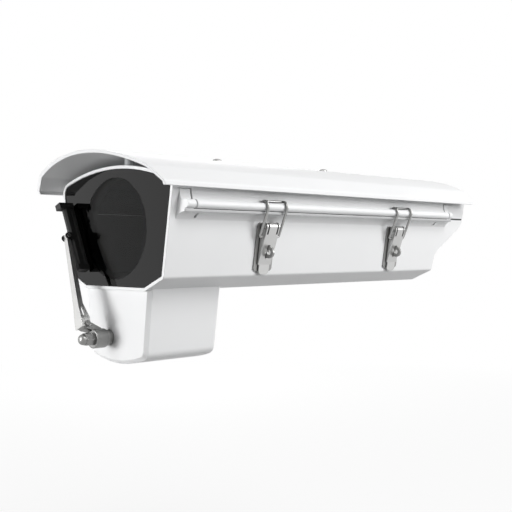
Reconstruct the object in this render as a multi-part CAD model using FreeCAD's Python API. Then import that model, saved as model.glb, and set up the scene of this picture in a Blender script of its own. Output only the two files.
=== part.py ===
import FreeCAD, Part
import math
import os

# Outdoor camera housing with a hinged top, a sun hood, two toggle latches and a window wiper.
# Millimetres. +Z is up, the window faces -Y and the latches are on the +X side.
# The origin is the middle of the four mounting holes, on the flat underside.

os.makedirs("parts", exist_ok=True)

# Body section, front view
bottom_half = 40.0
corner_half = 63.6
corner_height = 10.5
shoulder_half = 75.6
arch_height = 101.4
arch_radius = 211.0
shoulder_round = 10.0
corner_round = 3.0
wall = 2.5

# Body, side view
front_y = -207.5
rear_y = 207.5
rear_bottom_y = 158.5
rear_knee_y = 162.5
rear_knee_height = 28.5
slant_top_height = 59.0
rear_round = 12.0

# Window stack, front to back
rim_wall = 2.5
glass_recess = 0.8
glass_thick = 4.0
mask_thick = 1.5
seal_thick = 1.5
window_flange = 3.0
flange_wall = 6.0
pocket_gap = 0.3
aperture_radius = 41.8
aperture_height = 50.1
tunnel_wall = 1.6
tunnel_depth = 9.0

# Seams between the base and the lid
rim_depth = 4.5
front_seam_y = -190.0
rear_seam_y = 167.0
lid_back_run = 17.0
lid_back_y = rear_seam_y + lid_back_run
seam_gap = 1.5
lid_gap = 0.3
land_drop = 21.4
land_height = arch_height - land_drop
land_inset = 3.7
frame_wall = 6.4
rim_height = 64.3
rail_lift = 0.5
lip_half = 80.0
lip_thick = 2.0
lip_root = 56.5
seal_inner = 72.2
seal_outer = 75.8
seal_depth = 2.0
seal_proud = 0.2
seal_riser_inset = 0.4
seal_riser_taper = 3.0
seal_band_length = 8.0
seal_band_thick = 0.9
seal_web_depth = 1.6

# Round-nosed rail along the lid
nose_half = 79.0
nose_radius = 3.5
ledge_inner = 76.0
slope_half = 74.9
slope_height = 76.5
band_top = 82.0
rail_inner = 70.6
ear_front_y = -202.0
ear_rear_y = 175.5
ear_rake = 0.28

# Weep slots
weep_height = 59.7
weep_front_y = -182.5
weep_rear_y = 151.0
weep_radius = 1.3
weep_length = 1.3

# Mounting holes in the underside
mount_x = 50.0
mount_y = 70.0
mount_hole_radius = 2.5
mount_hole_depth = 9.5
mount_boss_radius = 7.0
mount_boss_height = 12.0

# Cable passage from the body down into the pod
passage_half = 10.0
passage_inset = 22.0
passage_length = 14.0

# Sun hood
hood_thick = 2.5
hood_gap = 8.1
hood_under = arch_height + hood_gap
hood_radius = 180.0
hood_bend_half = 72.0
hood_skirt_run = 12.1
hood_edge_height = 81.0
hood_lip = 2.8
hood_round = 8.0
hood_front_low_y = -224.1
hood_front_top_y = -239.0
hood_rear_y = 214.5
hood_rear_rake = 9.0
spacer_radius = 4.0
spacer_front_y = -191.5
spacer_middle_y = -92.5
spacer_rear_y = 57.0
hood_screw_radius = 2.5
hood_head_radius = 4.4
hood_head_height = 2.6
hood_washer_radius = 5.6
hood_washer_thick = 0.8
hood_head_round = 1.9
hood_screw_grip = 0.5
rib_depth = 4.0
rib_width = 4.0
rib_boss_wall = 2.0

# Hinges on the -X side
hinge_out = 3.5
hinge_height = 61.0
knuckle_radius = 3.2
hinge_pin_radius = 1.5
hinge_clearance = 0.03
hinge_mid_length = 14.0
hinge_end_length = 8.0
hinge_gap = 0.3
hinge_web_drop = 1.3
hinge_web_gap = 0.5
hinge_web_inset = 0.4

# Toggle latches on the +X side
latch_front_y = -100.5
latch_pitch = 182.8
pivot_x = 75.8
pivot_z = 52.2
latch_pin_radius = 1.5
latch_clearance = 0.05
bail_arm = 9.0
bail_angle = -104.0
plate_thick = 1.2
plate_half = 11.0
plate_up = 3.6
plate_down = 38.0
plate_round = 3.0
ear_inner = 4.9
latch_ear_radius = 2.2
latch_ear_foot = 14.0
sheet = 1.0
roll_radius = 3.6
roll_half = 4.6
lever_half = 7.6
lever_sheet = 1.2
lever_tilt = 11.0
lever_length = 33.0
tongue_length = 8.5
tongue_inset = 1.5
tongue_round = 4.0
lever_throat = 6.0
latch_pin_proud = 1.2
latch_pin_head = 0.9
plate_clear = 0.6
eye_drop = 21.8
eye_out = 7.3
eye_radius = 5.0
eye_hole_radius = 2.2
eye_half = 1.0
eye_slot_gap = 0.4
wire_radius = 1.1
wire_gap = 0.4
wire_half = 11.5
wire_bend = 1.5
rivet_radius = 1.4
rivet_head_radius = 2.4
rivet_head_height = 0.5
rivet_high = -8.0
rivet_low = -29.5

# Wiper pod under the window
pod_top_half = 43.5
pod_low_half = 37.5
pod_low_z = -54.2
pod_middle_z = -61.0
pod_front_y = -205.0
pod_rear_y = -127.6
pod_rear_draft = 1.3
pod_wall = 2.5
pod_bevel = 3.0
pod_round = 8.0
pod_rear_round = 4.0
pod_screw_x = 30.0
pod_screw_radius = 2.0
pod_screw_front_inset = 22.0
pod_screw_rear_inset = 16.0
pod_screw_depth = 14.0
pod_screw_grip = 10.0
pod_screw_head_radius = 3.6
pod_screw_head_height = 2.4
pod_boss_radius = 5.0
pod_boss_depth = 16.0
pod_rise = 6.0

# Wiper drive
shaft_x = -10.0
shaft_z = -40.0
shaft_radius = 4.0
shaft_clearance = 0.03
park_angle = -24.4
collar_radius = 6.6
collar_length = 4.7
collar_round = 0.8
bush_radius = 5.6
bush_inner_length = 8.0
hub_radius = 8.0
hub_gap = 0.6
hub_length = 11.9
nut_flats = 9.6
nut_length = 7.8
nut_dome = 4.6
nut_dome_inset = 0.3
nut_bevel = 0.7
shaft_proud = 1.5
hub_round = 1.0
hub_root = 2.0
hub_shoulder = 4.0
hub_nut_gap = 0.6
shaft_end_gap = 4.0
knuckle_rise = 12.0
knuckle_front = 4.3
lug_half = 4.0
lug_round = 4.0
wiper_pin_radius = 1.5
spring_radius = 1.8
spring_wire = 0.5
spring_coils = 12
spring_gap = 0.3
spring_tail = 3.0
wiper_pin_clearance = 0.05

# Wiper arm and blade, along the arm from the shaft
arm_start = 10.0
arm_flare = 17.0
arm_neck = 30.0
arm_end = 93.5
arm_base_half = 5.3
arm_neck_half = 3.6
arm_tip_half = 2.2
arm_base_depth = 8.5
arm_neck_depth = 5.0
arm_tip_depth = 3.4
arm_sheet = 1.0
arm_front_base = 5.5
arm_front_tip = 2.0
arm_eye_start = 20.0
arm_eye_end = 26.0
arm_eye_radius = 0.9
arm_eye_y = 1.0
blade_at = 91.5
blade_bottom = 60.5
blade_top = 122.5
blade_pin_out = 13.8
blade_pin_radius = 1.0
blade_pin_clearance = 0.05
blade_half = 3.0
blade_back = 11.0
blade_face = 5.2
blade_clip = 5.0
blade_low_clip = 0.8
blade_high_clip = 4.0
blade_clip_proud = 0.6
blade_clip_gap = 1.2
blade_crown_half = 1.2
blade_crown = 1.6
blade_ear_radius = 3.0
blade_ear_root = 2.0
yoke_gap = 0.4
yoke_wall = 1.0
rubber_half = 1.4
rubber_lip = 0.4
rubber_gap = 0.3
rubber_inset = 1.2
rubber_root = 3.0
rubber_neck = 1.4
rubber_neck_half = 0.5
rubber_flare = 1.3

# Wiper motor
gearbox_top = -22.0
gearbox_bottom = -50.0
gearbox_length = 18.0
gearbox_left = 13.5
gearbox_right = 33.0
gearbox_round = 4.0
gearbox_boss_gap = 0.4
motor_radius = 12.0
motor_length = 34.0
motor_x = 6.0
motor_z = -37.0
motor_round = 2.0
motor_tail_radius = 4.0
motor_tail_length = 3.0

# Cable glands on the slanted rear face
gland_x = 24.0
gland_thread_radius = 9.0
gland_hex = 24.0
gland_hex_thick = 5.0
gland_body_radius = 10.0
gland_body_length = 6.0
gland_nut_radius = 12.0
gland_nut_length = 12.0
gland_nut_gap = 1.5
gland_nut_round = 3.0
gland_seat_gap = 0.5
gland_seal_radius = 7.0
gland_inside = 8.0
gland_seal_inside = 2.0
locknut_thick = 4.0
locknut_extra = 2.0

# Inside: camera rail, carriage, heater, fan and board
rail_plate_half = 30.0
rail_plate_front_y = -150.0
rail_plate_rear_y = 60.0
rail_plate_height = 14.0
rail_plate_thick = 3.0
rail_slot_half = 6.0
rail_slot_inset = 14.0
rail_round = 4.0
rail_post_radius = 5.0
rail_post_x = 23.0
rail_post_inset = 12.0
carriage_length = 90.0
carriage_middle_y = -60.0
carriage_thick = 3.0
carriage_side_gap = 0.6
carriage_round = 3.0
carriage_gap = 0.05
key_clearance = 0.1
key_length = 24.0
key_pitch = 54.0
camera_thread_radius = 3.1
camera_thread_length = 9.0
camera_thread_root = 1.0
camera_ring_radius = 8.0
camera_ring_height = 3.0
camera_ring_bevel = 0.6
floor_post_height = 12.0
post_inset = 4.0
heater_half = 26.0
heater_front_y = 66.0
heater_length = 36.0
heater_base_thick = 4.0
heater_fin_height = 15.0
heater_fin_thick = 1.6
heater_fins = 8
heater_fin_inset = 10.0
fan_half = 20.0
fan_front_y = 105.0
fan_thick = 10.0
fan_hole_radius = 18.5
fan_hub_radius = 8.0
fan_tip_gap = 0.6
fan_blades = 7
fan_shaft_radius = 1.5
fan_round = 3.0
fan_strut = 1.5
fan_strut_root = 0.5
fan_rotor_gap = 1.0
fan_shaft_start = 3.0
fan_bore_start = 2.5
fan_blade_half = 4.0
fan_blade_turn = 42.0
fan_blade_thick = 1.0
board_half = 34.0
board_front_y = 119.0
board_length = 34.0
board_thick = 1.6
terminal_half = 22.0
terminal_depth = 9.0
terminal_height = 10.0
terminal_inset = 4.0
terminal_ways = 6
terminal_hole_radius = 1.7
terminal_floor = 3.0
screw_radius = 1.5
screw_head_radius = 2.9
screw_head_height = 2.0
screw_grip = 7.0
rail_screw_grip = 8.0

V = FreeCAD.Vector
X = V(1, 0, 0)
Y = V(0, 1, 0)
Z = V(0, 0, 1)
far = 400.0


def box(x0, x1, y0, y1, z0, z1):
    return Part.makeBox(x1 - x0, y1 - y0, z1 - z0, V(x0, y0, z0))


def cylinder(radius, start, axis, length):
    return Part.makeCylinder(radius, length, start, axis)


def plate(points, along):
    """A flat polygon, extruded."""
    ring = Part.makePolygon(points + [points[0]])
    return Part.Face(ring).extrude(along)


def plate_y(pairs, y0, y1):
    """A polygon of (x, z) pairs, extruded from y0 to y1."""
    return plate([V(x, y0, z) for x, z in pairs], V(0, y1 - y0, 0))


def mirrored(shape):
    return shape.mirror(V(0, 0, 0), X)


def fuse(shapes):
    joined = shapes[0].fuse(shapes[1:])
    return joined.removeSplitter()


def save(name, shapes):
    shape = shapes[0] if len(shapes) == 1 else Part.makeCompound(shapes)
    shape.exportStep("parts/" + name + ".step")


def edges_along(shape, axis, test):
    """Straight edges parallel to an axis whose middle point passes the test."""
    found = []
    for edge in shape.Edges:
        if edge.Curve.TypeId != "Part::GeomLine":
            continue
        run = edge.Vertexes[-1].Point - edge.Vertexes[0].Point
        if run.Length > 1e-6 and abs(abs(run.normalize().dot(axis)) - 1) < 1e-6:
            if test(edge.CenterOfMass):
                found.append(edge)
    return found


def screw(head_at, axis, length, radius=screw_radius, head=screw_head_radius, height=screw_head_height):
    """A cylinder-head screw: the head stands at head_at and the shank runs along the axis."""
    shank = cylinder(radius, head_at, axis, length)
    cap = cylinder(head, head_at - axis * height, axis, height)
    return fuse([cap, shank])


# Body section with its rounded corners

def arch_z(x, height, radius):
    return height - radius + math.sqrt(radius ** 2 - x ** 2)


def side_x(z):
    """Half width of the body's outer side wall at a height."""
    top = arch_z(shoulder_half, arch_height, arch_radius)
    share = (z - corner_height) / (top - corner_height)
    return corner_half + (shoulder_half - corner_half) * share


def rounded_section():
    shoulder = arch_z(shoulder_half, arch_height, arch_radius)
    corners = [V(-bottom_half, 0, 0), V(bottom_half, 0, 0), V(corner_half, 0, corner_height)]
    corners += [V(shoulder_half, 0, shoulder), V(-shoulder_half, 0, shoulder)]
    corners += [V(-corner_half, 0, corner_height)]
    lines = [Part.makeLine(corners[i], corners[i + 1]) for i in (0, 1, 2)]
    arch = Part.Arc(corners[3], V(0, 0, arch_height), corners[4]).toShape()
    lines += [arch, Part.makeLine(corners[4], corners[5]), Part.makeLine(corners[5], corners[0])]
    block = Part.Face(Part.Wire(lines)).extrude(Y)
    block = block.makeFillet(shoulder_round, edges_along(block, Y, lambda p: p.z > shoulder - 0.1))
    block = block.makeFillet(corner_round, edges_along(block, Y, lambda p: p.z < corner_height + 0.1))
    return [face for face in block.Faces if face.CenterOfMass.y < 1e-6][0]


outline = rounded_section()


def section(inset, y0, y1):
    """The body section drawn in by an inset, extruded from y0 to y1."""
    face = outline.copy() if inset == 0 else outline.makeOffset2D(-inset)
    face.translate(V(0, y0, 0))
    return face.extrude(V(0, y1 - y0, 0))


def side_block(inset):
    """Everything in front of the slanted rear end, drawn in by an inset."""
    lean = (rear_knee_y - rear_bottom_y) / rear_knee_height
    low = rear_bottom_y - lean * far
    points = [V(-far, front_y - far, -far), V(-far, low, -far), V(-far, rear_knee_y, rear_knee_height)]
    points += [V(-far, rear_y, slant_top_height), V(-far, rear_y, far), V(-far, front_y - far, far)]
    block = plate(points, V(2 * far, 0, 0))
    bends = edges_along(block, X, lambda p: 0 < p.z < arch_height)
    block = block.makeFillet(rear_round, bends)
    face = [f for f in block.Faces if f.CenterOfMass.x < 1 - far][0]
    if inset:
        face = face.makeOffset2D(-inset)
    return face.extrude(V(2 * far, 0, 0))


# Base: trough, front frame, rear head, lips and ears in one casting

nose_z = rim_height + rail_lift + nose_radius
ledge_z = nose_z + nose_radius
pocket_back_y = front_y + glass_recess + glass_thick + mask_thick + seal_thick
flange_back_y = pocket_back_y + window_flange
hinge_half = lip_half + hinge_out
hood_edge_half = hood_bend_half + hood_skirt_run
lid_front_y = front_y + rim_depth + lid_gap


def rail_section(bottom, y0, y1):
    """The rail's own section, with the side band above it."""
    band = side_x(band_top)
    path = [Part.makeLine(V(rail_inner, y0, bottom), V(nose_half, y0, bottom))]
    side = V(nose_half + nose_radius, y0, nose_z)
    if bottom < nose_z - nose_radius - 1e-6:
        path.append(Part.makeLine(V(nose_half, y0, bottom), V(nose_half, y0, nose_z - nose_radius)))
    path.append(Part.Arc(V(nose_half, y0, nose_z - nose_radius), side, V(nose_half, y0, ledge_z)).toShape())
    bends = [(nose_half, ledge_z), (ledge_inner, ledge_z), (slope_half, slope_height), (band, band_top)]
    bends += [(band - wall, band_top), (rail_inner, bottom)]
    for start, end in zip(bends[:-1], bends[1:]):
        path.append(Part.makeLine(V(start[0], y0, start[1]), V(end[0], y0, end[1])))
    return Part.Face(Part.Wire(path)).extrude(V(0, y1 - y0, 0))


def lip(y0, y1):
    """The lip that the rail stands on, hollow on its underside."""
    root = side_x(lip_root)
    wide = lip_half - root
    tall = rim_height - lip_thick - lip_root
    bend = (wide ** 2 + tall ** 2) / (2 * tall)
    turn = (math.pi / 2 + math.atan2(bend - tall, -wide)) / 2
    tip = V(lip_half, y0, rim_height - lip_thick)
    hollow = tip + V(bend * math.cos(turn), 0, bend * (math.sin(turn) - 1))
    foot = V(root, y0, lip_root)
    path = [V(root - 1, y0, lip_root), V(rail_inner - 1, y0, rim_height), V(lip_half, y0, rim_height), tip]
    edges = [Part.makeLine(path[i], path[i + 1]) for i in range(3)]
    edges += [Part.Arc(tip, hollow, foot).toShape(), Part.makeLine(foot, path[0])]
    return Part.Face(Part.Wire(edges)).extrude(V(0, y1 - y0, 0))


def ears():
    """Rail ends that stay on the base, raked at their outer ends."""
    front = fuse([rail_section(rim_height, ear_front_y, front_seam_y), lip(ear_front_y, front_seam_y)])
    start = side_x(lip_root) - wall / 2
    reach = 2 * (lip_half + nose_radius - start)
    y = ear_front_y
    rake = [V(start, y - 1, 0), V(start, y, 0)]
    rake += [V(start + reach, y + reach * ear_rake, 0), V(start + reach, y - 1, 0)]
    front = front.cut(plate(rake, V(0, 0, arch_height)))
    rear = fuse([rail_section(rim_height, rear_seam_y, ear_rear_y), lip(rear_seam_y, ear_rear_y)])
    y = ear_rear_y
    rake = [V(start, y + 1, 0), V(start, y, 0)]
    rake += [V(start + reach, y - reach * ear_rake, 0), V(start + reach, y + 1, 0)]
    rear = rear.cut(plate(rake, V(0, 0, arch_height)))
    below = box(0, far, front_y, rear_y, 0, land_height)
    return [front.common(below), rear.common(below)]


def land(y0, y1):
    """What is cut off the arch so that the lid can lie over it."""
    ring = section(0, y0, y1).cut(section(land_inset, y0 - 1, y1 + 1))
    return ring.common(box(-far, far, y0, y1, land_height, far))


slant = V(0, rear_y - rear_knee_y, slant_top_height - rear_knee_height).normalize()
slant_out = V(0, slant.z, -slant.y)
slant_middle = V(0, (rear_y + rear_knee_y) / 2, (slant_top_height + rear_knee_height) / 2)


def gland_point(side, out):
    return slant_middle + V(side * gland_x, 0, 0) + slant_out * out


latch_places = [latch_front_y, latch_front_y + latch_pitch]
mount_places = [(sx * mount_x / 2, sy * mount_y / 2) for sx in (-1, 1) for sy in (-1, 1)]
rail_post_ys = (rail_plate_front_y + rail_post_inset, rail_plate_rear_y - rail_post_inset)
rail_posts = [(sx * rail_post_x, y) for sx in (-1, 1) for y in rail_post_ys]
heater_posts = [(sx * (heater_half - post_inset), heater_front_y + heater_length / 2) for sx in (-1, 1)]
board_posts = [(sx * (board_half - post_inset), board_front_y + board_length / 2) for sx in (-1, 1)]
pod_screw_ys = (pod_front_y + pod_screw_front_inset, pod_rear_y - pod_screw_rear_inset)
pod_screws = [(sx * pod_screw_x, y) for sx in (-1, 1) for y in pod_screw_ys]
weep_places = [weep_front_y, weep_rear_y]


def hinge_parts(y, side):
    """Knuckles of one hinge: the base's two outer ones, or the lid's middle one."""
    half = hinge_mid_length / 2
    if side == "lid":
        spans = [(y - half, y + half)]
    else:
        spans = [(y - half - hinge_gap - hinge_end_length, y - half - hinge_gap)]
        spans.append((y + half + hinge_gap, y + half + hinge_gap + hinge_end_length))
    made = []
    for start, end in spans:
        round_part = cylinder(knuckle_radius, V(-hinge_half, start, hinge_height), Y, end - start)
        if side == "lid":
            left = -hinge_half - knuckle_radius + hinge_web_inset
            web = box(left, -lip_half - hinge_web_gap, start, end, hinge_height, nose_z)
        else:
            low = lip_root + hinge_web_drop
            web = box(-hinge_half, -side_x(lip_root), start, end, low, rim_height - lip_thick)
        made += [round_part, web]
    return made


def hinge_bore(y, radius):
    reach = hinge_mid_length / 2 + hinge_gap + hinge_end_length + 1
    return cylinder(radius, V(-hinge_half, y - reach, hinge_height), Y, 2 * reach)


def base_housing():
    shell = section(0, front_y, rear_y).common(side_block(0))
    inner_block = side_block(wall)
    middle = section(wall, front_seam_y, rear_seam_y)
    front = section(frame_wall, flange_back_y, front_seam_y + 1)
    back = section(frame_wall, rear_seam_y - 1, lid_back_y + wall)
    tail = section(wall, lid_back_y + wall, rear_y)
    for hollow in (front, middle, back, tail):
        shell = shell.cut(hollow.common(inner_block))
    shell = shell.cut(box(-far, far, front_seam_y, rear_seam_y, rim_height, far))
    shell = shell.cut(section(rim_wall, front_y - 1, pocket_back_y))
    shell = shell.cut(section(flange_wall, front_y - 1, flange_back_y + 1))
    shell = shell.cut(land(front_y + rim_depth, front_seam_y))
    shell = shell.cut(land(rear_seam_y, lid_back_y + lid_gap))
    added = [lip(front_seam_y, rear_seam_y)] + ears()
    added += [mirrored(piece) for piece in added]
    for y in latch_places:
        added += hinge_parts(y, "base")
    for x, y in mount_places:
        added.append(cylinder(mount_boss_radius, V(x, y, wall / 2), Z, mount_boss_height - wall / 2))
    for x, y in rail_posts:
        added.append(cylinder(rail_post_radius, V(x, y, wall / 2), Z, rail_plate_height - wall / 2))
    for x, y in heater_posts + board_posts:
        added.append(cylinder(rail_post_radius, V(x, y, wall / 2), Z, floor_post_height - wall / 2))
    fan_foot = box(-fan_half, fan_half, fan_front_y, fan_front_y + fan_thick, wall / 2, floor_post_height)
    added.append(fan_foot)
    shell = shell.fuse(added)
    inside = section(rim_wall, front_y - 1, pocket_back_y)
    inside = inside.fuse(section(flange_wall, front_y - 1, flange_back_y + 1))
    shell = shell.cut(inside)
    for sign in (-1, 1):
        low = rim_height - seal_depth
        groove = box(seal_inner, seal_outer, front_seam_y, rear_seam_y, low, rim_height + 1)
        shell = shell.cut(groove if sign > 0 else mirrored(groove))
    for x, y in mount_places:
        shell = shell.cut(cylinder(mount_hole_radius, V(x, y, -1), Z, mount_hole_depth + 1))
    for x, y in rail_posts:
        depth = rail_plate_height - wall
        shell = shell.cut(cylinder(screw_radius, V(x, y, wall), Z, depth + 1))
    for x, y in heater_posts + board_posts:
        shell = shell.cut(cylinder(screw_radius, V(x, y, wall), Z, floor_post_height))
    for x, y in pod_screws:
        shell = shell.cut(cylinder(pod_screw_radius, V(x, y, -1), Z, wall + 2))
    start = pod_front_y + passage_inset
    shell = shell.cut(box(-passage_half, passage_half, start, start + passage_length, -1, wall + 1))
    for side in (-1, 1):
        start = gland_point(side, wall + 2)
        shell = shell.cut(cylinder(gland_thread_radius, start, slant_out * -1, 2 * wall + 4))
    for y in weep_places:
        for end in (-1, 1):
            at = V(-far, y, weep_height + end * (weep_length / 2))
            shell = shell.cut(cylinder(weep_radius, at, X, 2 * far))
        slot = box(-far, far, y - weep_radius, y + weep_radius, weep_height - weep_length / 2,
                   weep_height + weep_length / 2)
        shell = shell.cut(slot)
    for y in latch_places:
        shell = shell.cut(hinge_bore(y, hinge_pin_radius))
        for at in rivet_points(y):
            shell = shell.cut(cylinder(rivet_radius, at - wall_out * 2 * wall, wall_out, 3 * wall))
    return shell.removeSplitter()


# Latch frame: n runs out of the side wall and u runs up it, from the wall point beside the pivot

wall_lean = math.atan((side_x(rim_height) - side_x(corner_height)) / (rim_height - corner_height))
wall_out = V(math.cos(wall_lean), 0, -math.sin(wall_lean))
wall_up = V(math.sin(wall_lean), 0, math.cos(wall_lean))
wall_base = V(side_x(pivot_z), 0, pivot_z)
pivot = V(pivot_x, 0, pivot_z)
pivot_n = (pivot - wall_base).dot(wall_out)
pivot_u = (pivot - wall_base).dot(wall_up)
turn = math.radians(bail_angle)
bail_end = pivot + V(math.cos(turn), 0, math.sin(turn)) * bail_arm


def on_wall(n, u, y):
    return wall_base + wall_out * n + wall_up * u + V(0, y, 0)


def rivet_points(y):
    return [on_wall(0, u, y) for u in (rivet_high, rivet_low)]


def wall_plate(pairs, y0, y1):
    """A polygon of (n, u) pairs, extruded from y0 to y1."""
    return plate([on_wall(n, u, y0) for n, u in pairs], V(0, y1 - y0, 0))


def latch_base(y):
    low = -plate_down
    back = wall_plate([(0, low), (plate_thick, low), (plate_thick, plate_up), (0, plate_up)],
                      y - plate_half, y + plate_half)
    back = back.makeFillet(plate_round, edges_along(back, wall_out, lambda p: True))
    parts = [back]
    for side in (-1, 1):
        start = y + side * ear_inner + (0 if side > 0 else -plate_thick)
        top = pivot_u + latch_ear_radius
        web = wall_plate([(plate_thick / 2, -latch_ear_foot), (pivot_n + 1, pivot_u - latch_ear_radius),
                          (pivot_n, top), (plate_thick / 2, top)], start, start + plate_thick)
        tip = cylinder(latch_ear_radius, pivot + V(0, start, 0), Y, plate_thick)
        parts += [web, tip]
    ring_at = on_wall(eye_out, -eye_drop + pivot_u, y - eye_half)
    stem = wall_plate([(plate_thick / 2, -eye_drop - eye_radius + 1.5), (eye_out, -eye_drop - eye_radius + 1),
                       (eye_out, -eye_drop + eye_radius + 1), (plate_thick / 2, -eye_drop + eye_radius)],
                      y - eye_half, y + eye_half)
    parts += [cylinder(eye_radius, ring_at, Y, 2 * eye_half), stem]
    body = fuse(parts)
    body = body.cut(cylinder(eye_hole_radius, ring_at - Y, Y, 2 * eye_half + 2))
    body = body.cut(cylinder(latch_pin_radius, pivot + V(0, y - 10, 0), Y, 20))
    for at in rivet_points(y):
        body = body.cut(cylinder(rivet_radius, at - wall_out, wall_out, 3))
    return body


def rivet(at):
    """A domed head on the plate and a shank through the wall."""
    shank = cylinder(rivet_radius, at - wall_out * wall, wall_out, wall + plate_thick)
    head = cylinder(rivet_head_radius, at + wall_out * plate_thick, wall_out, rivet_head_height)
    tail = cylinder(rivet_head_radius, at - wall_out * wall, wall_out * -1, rivet_head_height)
    return fuse([shank, head, tail])


lean = math.radians(lever_tilt)
lever_down = wall_out * -math.sin(lean) + wall_up * -math.cos(lean)
lever_out = wall_out * math.cos(lean) - wall_up * math.sin(lean)


def on_lever(a, b, y):
    """a runs down the lever from its pivot, b runs out of its face."""
    return pivot + lever_down * a + lever_out * b + V(0, y, 0)


def lever_plate(pairs, y0, y1):
    return plate([on_lever(a, b, y0) for a, b in pairs], V(0, y1 - y0, 0))


def latch_lever(y):
    face = roll_radius
    back = face - sheet
    front = lever_plate([(0, back), (0, face), (lever_length, face), (lever_length, back)],
                        y - lever_half, y + lever_half)
    end = on_lever(lever_length, face, 0)
    tip_n = (end - wall_base).dot(wall_out)
    tip_u = (end - wall_base).dot(wall_up)
    left = y - lever_half + tongue_inset
    right = y + lever_half - tongue_inset
    tongue = wall_plate([(tip_n - sheet, tip_u), (tip_n, tip_u), (tip_n, tip_u - tongue_length),
                         (tip_n - sheet, tip_u - tongue_length)], left, right)
    low = min(p.Point.z for p in tongue.Vertexes)
    tongue = tongue.makeFillet(tongue_round, edges_along(tongue, wall_out, lambda p: p.z < low + 1))
    wedge = lever_plate([(lever_length - 2, back), (lever_length - 2, face), (lever_length, face),
                         (lever_length + 1, back)], left, right)
    roll = cylinder(roll_radius, pivot + V(0, y - roll_half, 0), Y, 2 * roll_half)
    reach = plate_thick + plate_clear - pivot_n
    foot = (reach + lever_length * math.sin(lean)) / math.cos(lean)
    heel = reach / math.cos(lean)
    parts = [front, tongue, wedge, roll]
    for side in (-1, 1):
        start = y + side * lever_half - (lever_sheet if side > 0 else 0)
        flange = lever_plate([(0, face), (0, heel), (lever_length, foot), (lever_length, face)],
                             start, start + lever_sheet)
        boss = cylinder(roll_radius, pivot + V(0, start, 0), Y, lever_sheet)
        parts += [flange, boss]
    body = fuse(parts)
    bore = cylinder(latch_pin_radius + latch_clearance, pivot + V(0, y - 15, 0), Y, 30)
    body = body.cut(bore)
    bail_bore = cylinder(wire_radius + latch_clearance, bail_end + V(0, y - 15, 0), Y, 30)
    body = body.cut(bail_bore)
    for side in (-1, 1):
        gap_in = roll_half
        gap_out = lever_half - lever_sheet
        y0 = y + (gap_in if side > 0 else -gap_out)
        reach = roll_radius + lever_throat
        throat = [(-reach, -reach), (-reach, reach), (lever_throat, reach), (lever_throat, -reach)]
        body = body.cut(lever_plate(throat, y0, y0 + gap_out - gap_in))
    centre = on_wall(eye_out, -eye_drop + pivot_u, 0) - pivot
    far_radius = centre.Length + eye_radius + eye_slot_gap
    near_radius = centre.Length - eye_radius - eye_slot_gap
    slot = lever_plate([(near_radius - 1, back - 1), (near_radius - 1, face + 1), (far_radius, face + 1),
                        (far_radius, back - 1)], y - eye_half - eye_slot_gap, y + eye_half + eye_slot_gap)
    return body.cut(slot)


def latch_bail(y):
    """One bent wire: two hooked ends in the lever, two legs round the rail's nose and a bar on its ledge."""
    ring = nose_radius + wire_gap + wire_radius
    centre = V(nose_half, 0, nose_z)
    to_centre = centre - bail_end
    gap = to_centre.Length
    heading = math.atan2(to_centre.z, to_centre.x) - math.asin(ring / gap)
    leg = V(math.cos(heading), 0, math.sin(heading))
    touch = bail_end + leg * math.sqrt(gap ** 2 - ring ** 2)
    over = heading / 2
    middle = centre + V(math.cos(over), 0, math.sin(over)) * ring
    top = centre + V(0, 0, ring)
    inner = lever_half - lever_sheet
    quarter = math.sqrt(0.5)
    edges = []
    for side in (1, -1):
        out = V(0, y + side * wire_half, 0)
        stub = bail_end + V(0, y + side * inner, 0)
        elbow = bail_end + V(0, y + side * (wire_half - wire_bend), 0)
        rise = bail_end + out + leg * wire_bend
        mid = elbow + leg * (wire_bend * (1 - quarter)) + V(0, side * wire_bend * quarter, 0)
        turn_in = top + out
        bar = top + V(-wire_bend, y + side * (wire_half - wire_bend), 0)
        round_mid = top + V(-wire_bend * quarter, y + side * (wire_half - wire_bend * (1 - quarter)), 0)
        run = [Part.makeLine(stub, elbow), Part.Arc(elbow, mid, rise).toShape()]
        run += [Part.makeLine(rise, touch + out), Part.Arc(touch + out, middle + out, turn_in).toShape()]
        run += [Part.Arc(turn_in, round_mid, bar).toShape()]
        if side > 0:
            edges += run
            edges.append(Part.makeLine(bar, bar - V(0, 2 * (wire_half - wire_bend), 0)))
        else:
            edges += run[::-1]
    start = bail_end + V(0, y + inner, 0)
    disc = Part.Wire([Part.makeCircle(wire_radius, start, Y)])
    path = Part.Wire(Part.__sortEdges__(edges))
    return path.makePipeShell([disc], True, False)


def latch_pin(y):
    half = lever_half + latch_pin_proud
    pin = cylinder(latch_pin_radius, pivot + V(0, y - half, 0), Y, 2 * half)
    heads = []
    for start in (y - half, y + half - latch_pin_head):
        heads.append(cylinder(latch_pin_radius + latch_pin_head, pivot + V(0, start, 0), Y, latch_pin_head))
    return fuse([pin] + heads)


# Window

def window_parts():
    glass_back = front_y + glass_recess + glass_thick
    glass = section(rim_wall + pocket_gap, front_y + glass_recess, glass_back)
    save("window_glass", [glass])
    mask_back = glass_back + mask_thick
    mask = section(rim_wall + pocket_gap, glass_back, mask_back)
    middle = V(0, glass_back, aperture_height)
    tunnel = cylinder(aperture_radius + tunnel_wall, middle, Y, tunnel_depth)
    mask = fuse([mask, tunnel])
    mask = mask.cut(cylinder(aperture_radius, middle - Y, Y, tunnel_depth + 2))
    save("window_mask", [mask])
    seal = section(rim_wall + pocket_gap, mask_back, mask_back + seal_thick)
    seal = seal.cut(section(flange_wall, mask_back - 1, mask_back + seal_thick + 1))
    save("window_seal", [seal])


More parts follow.
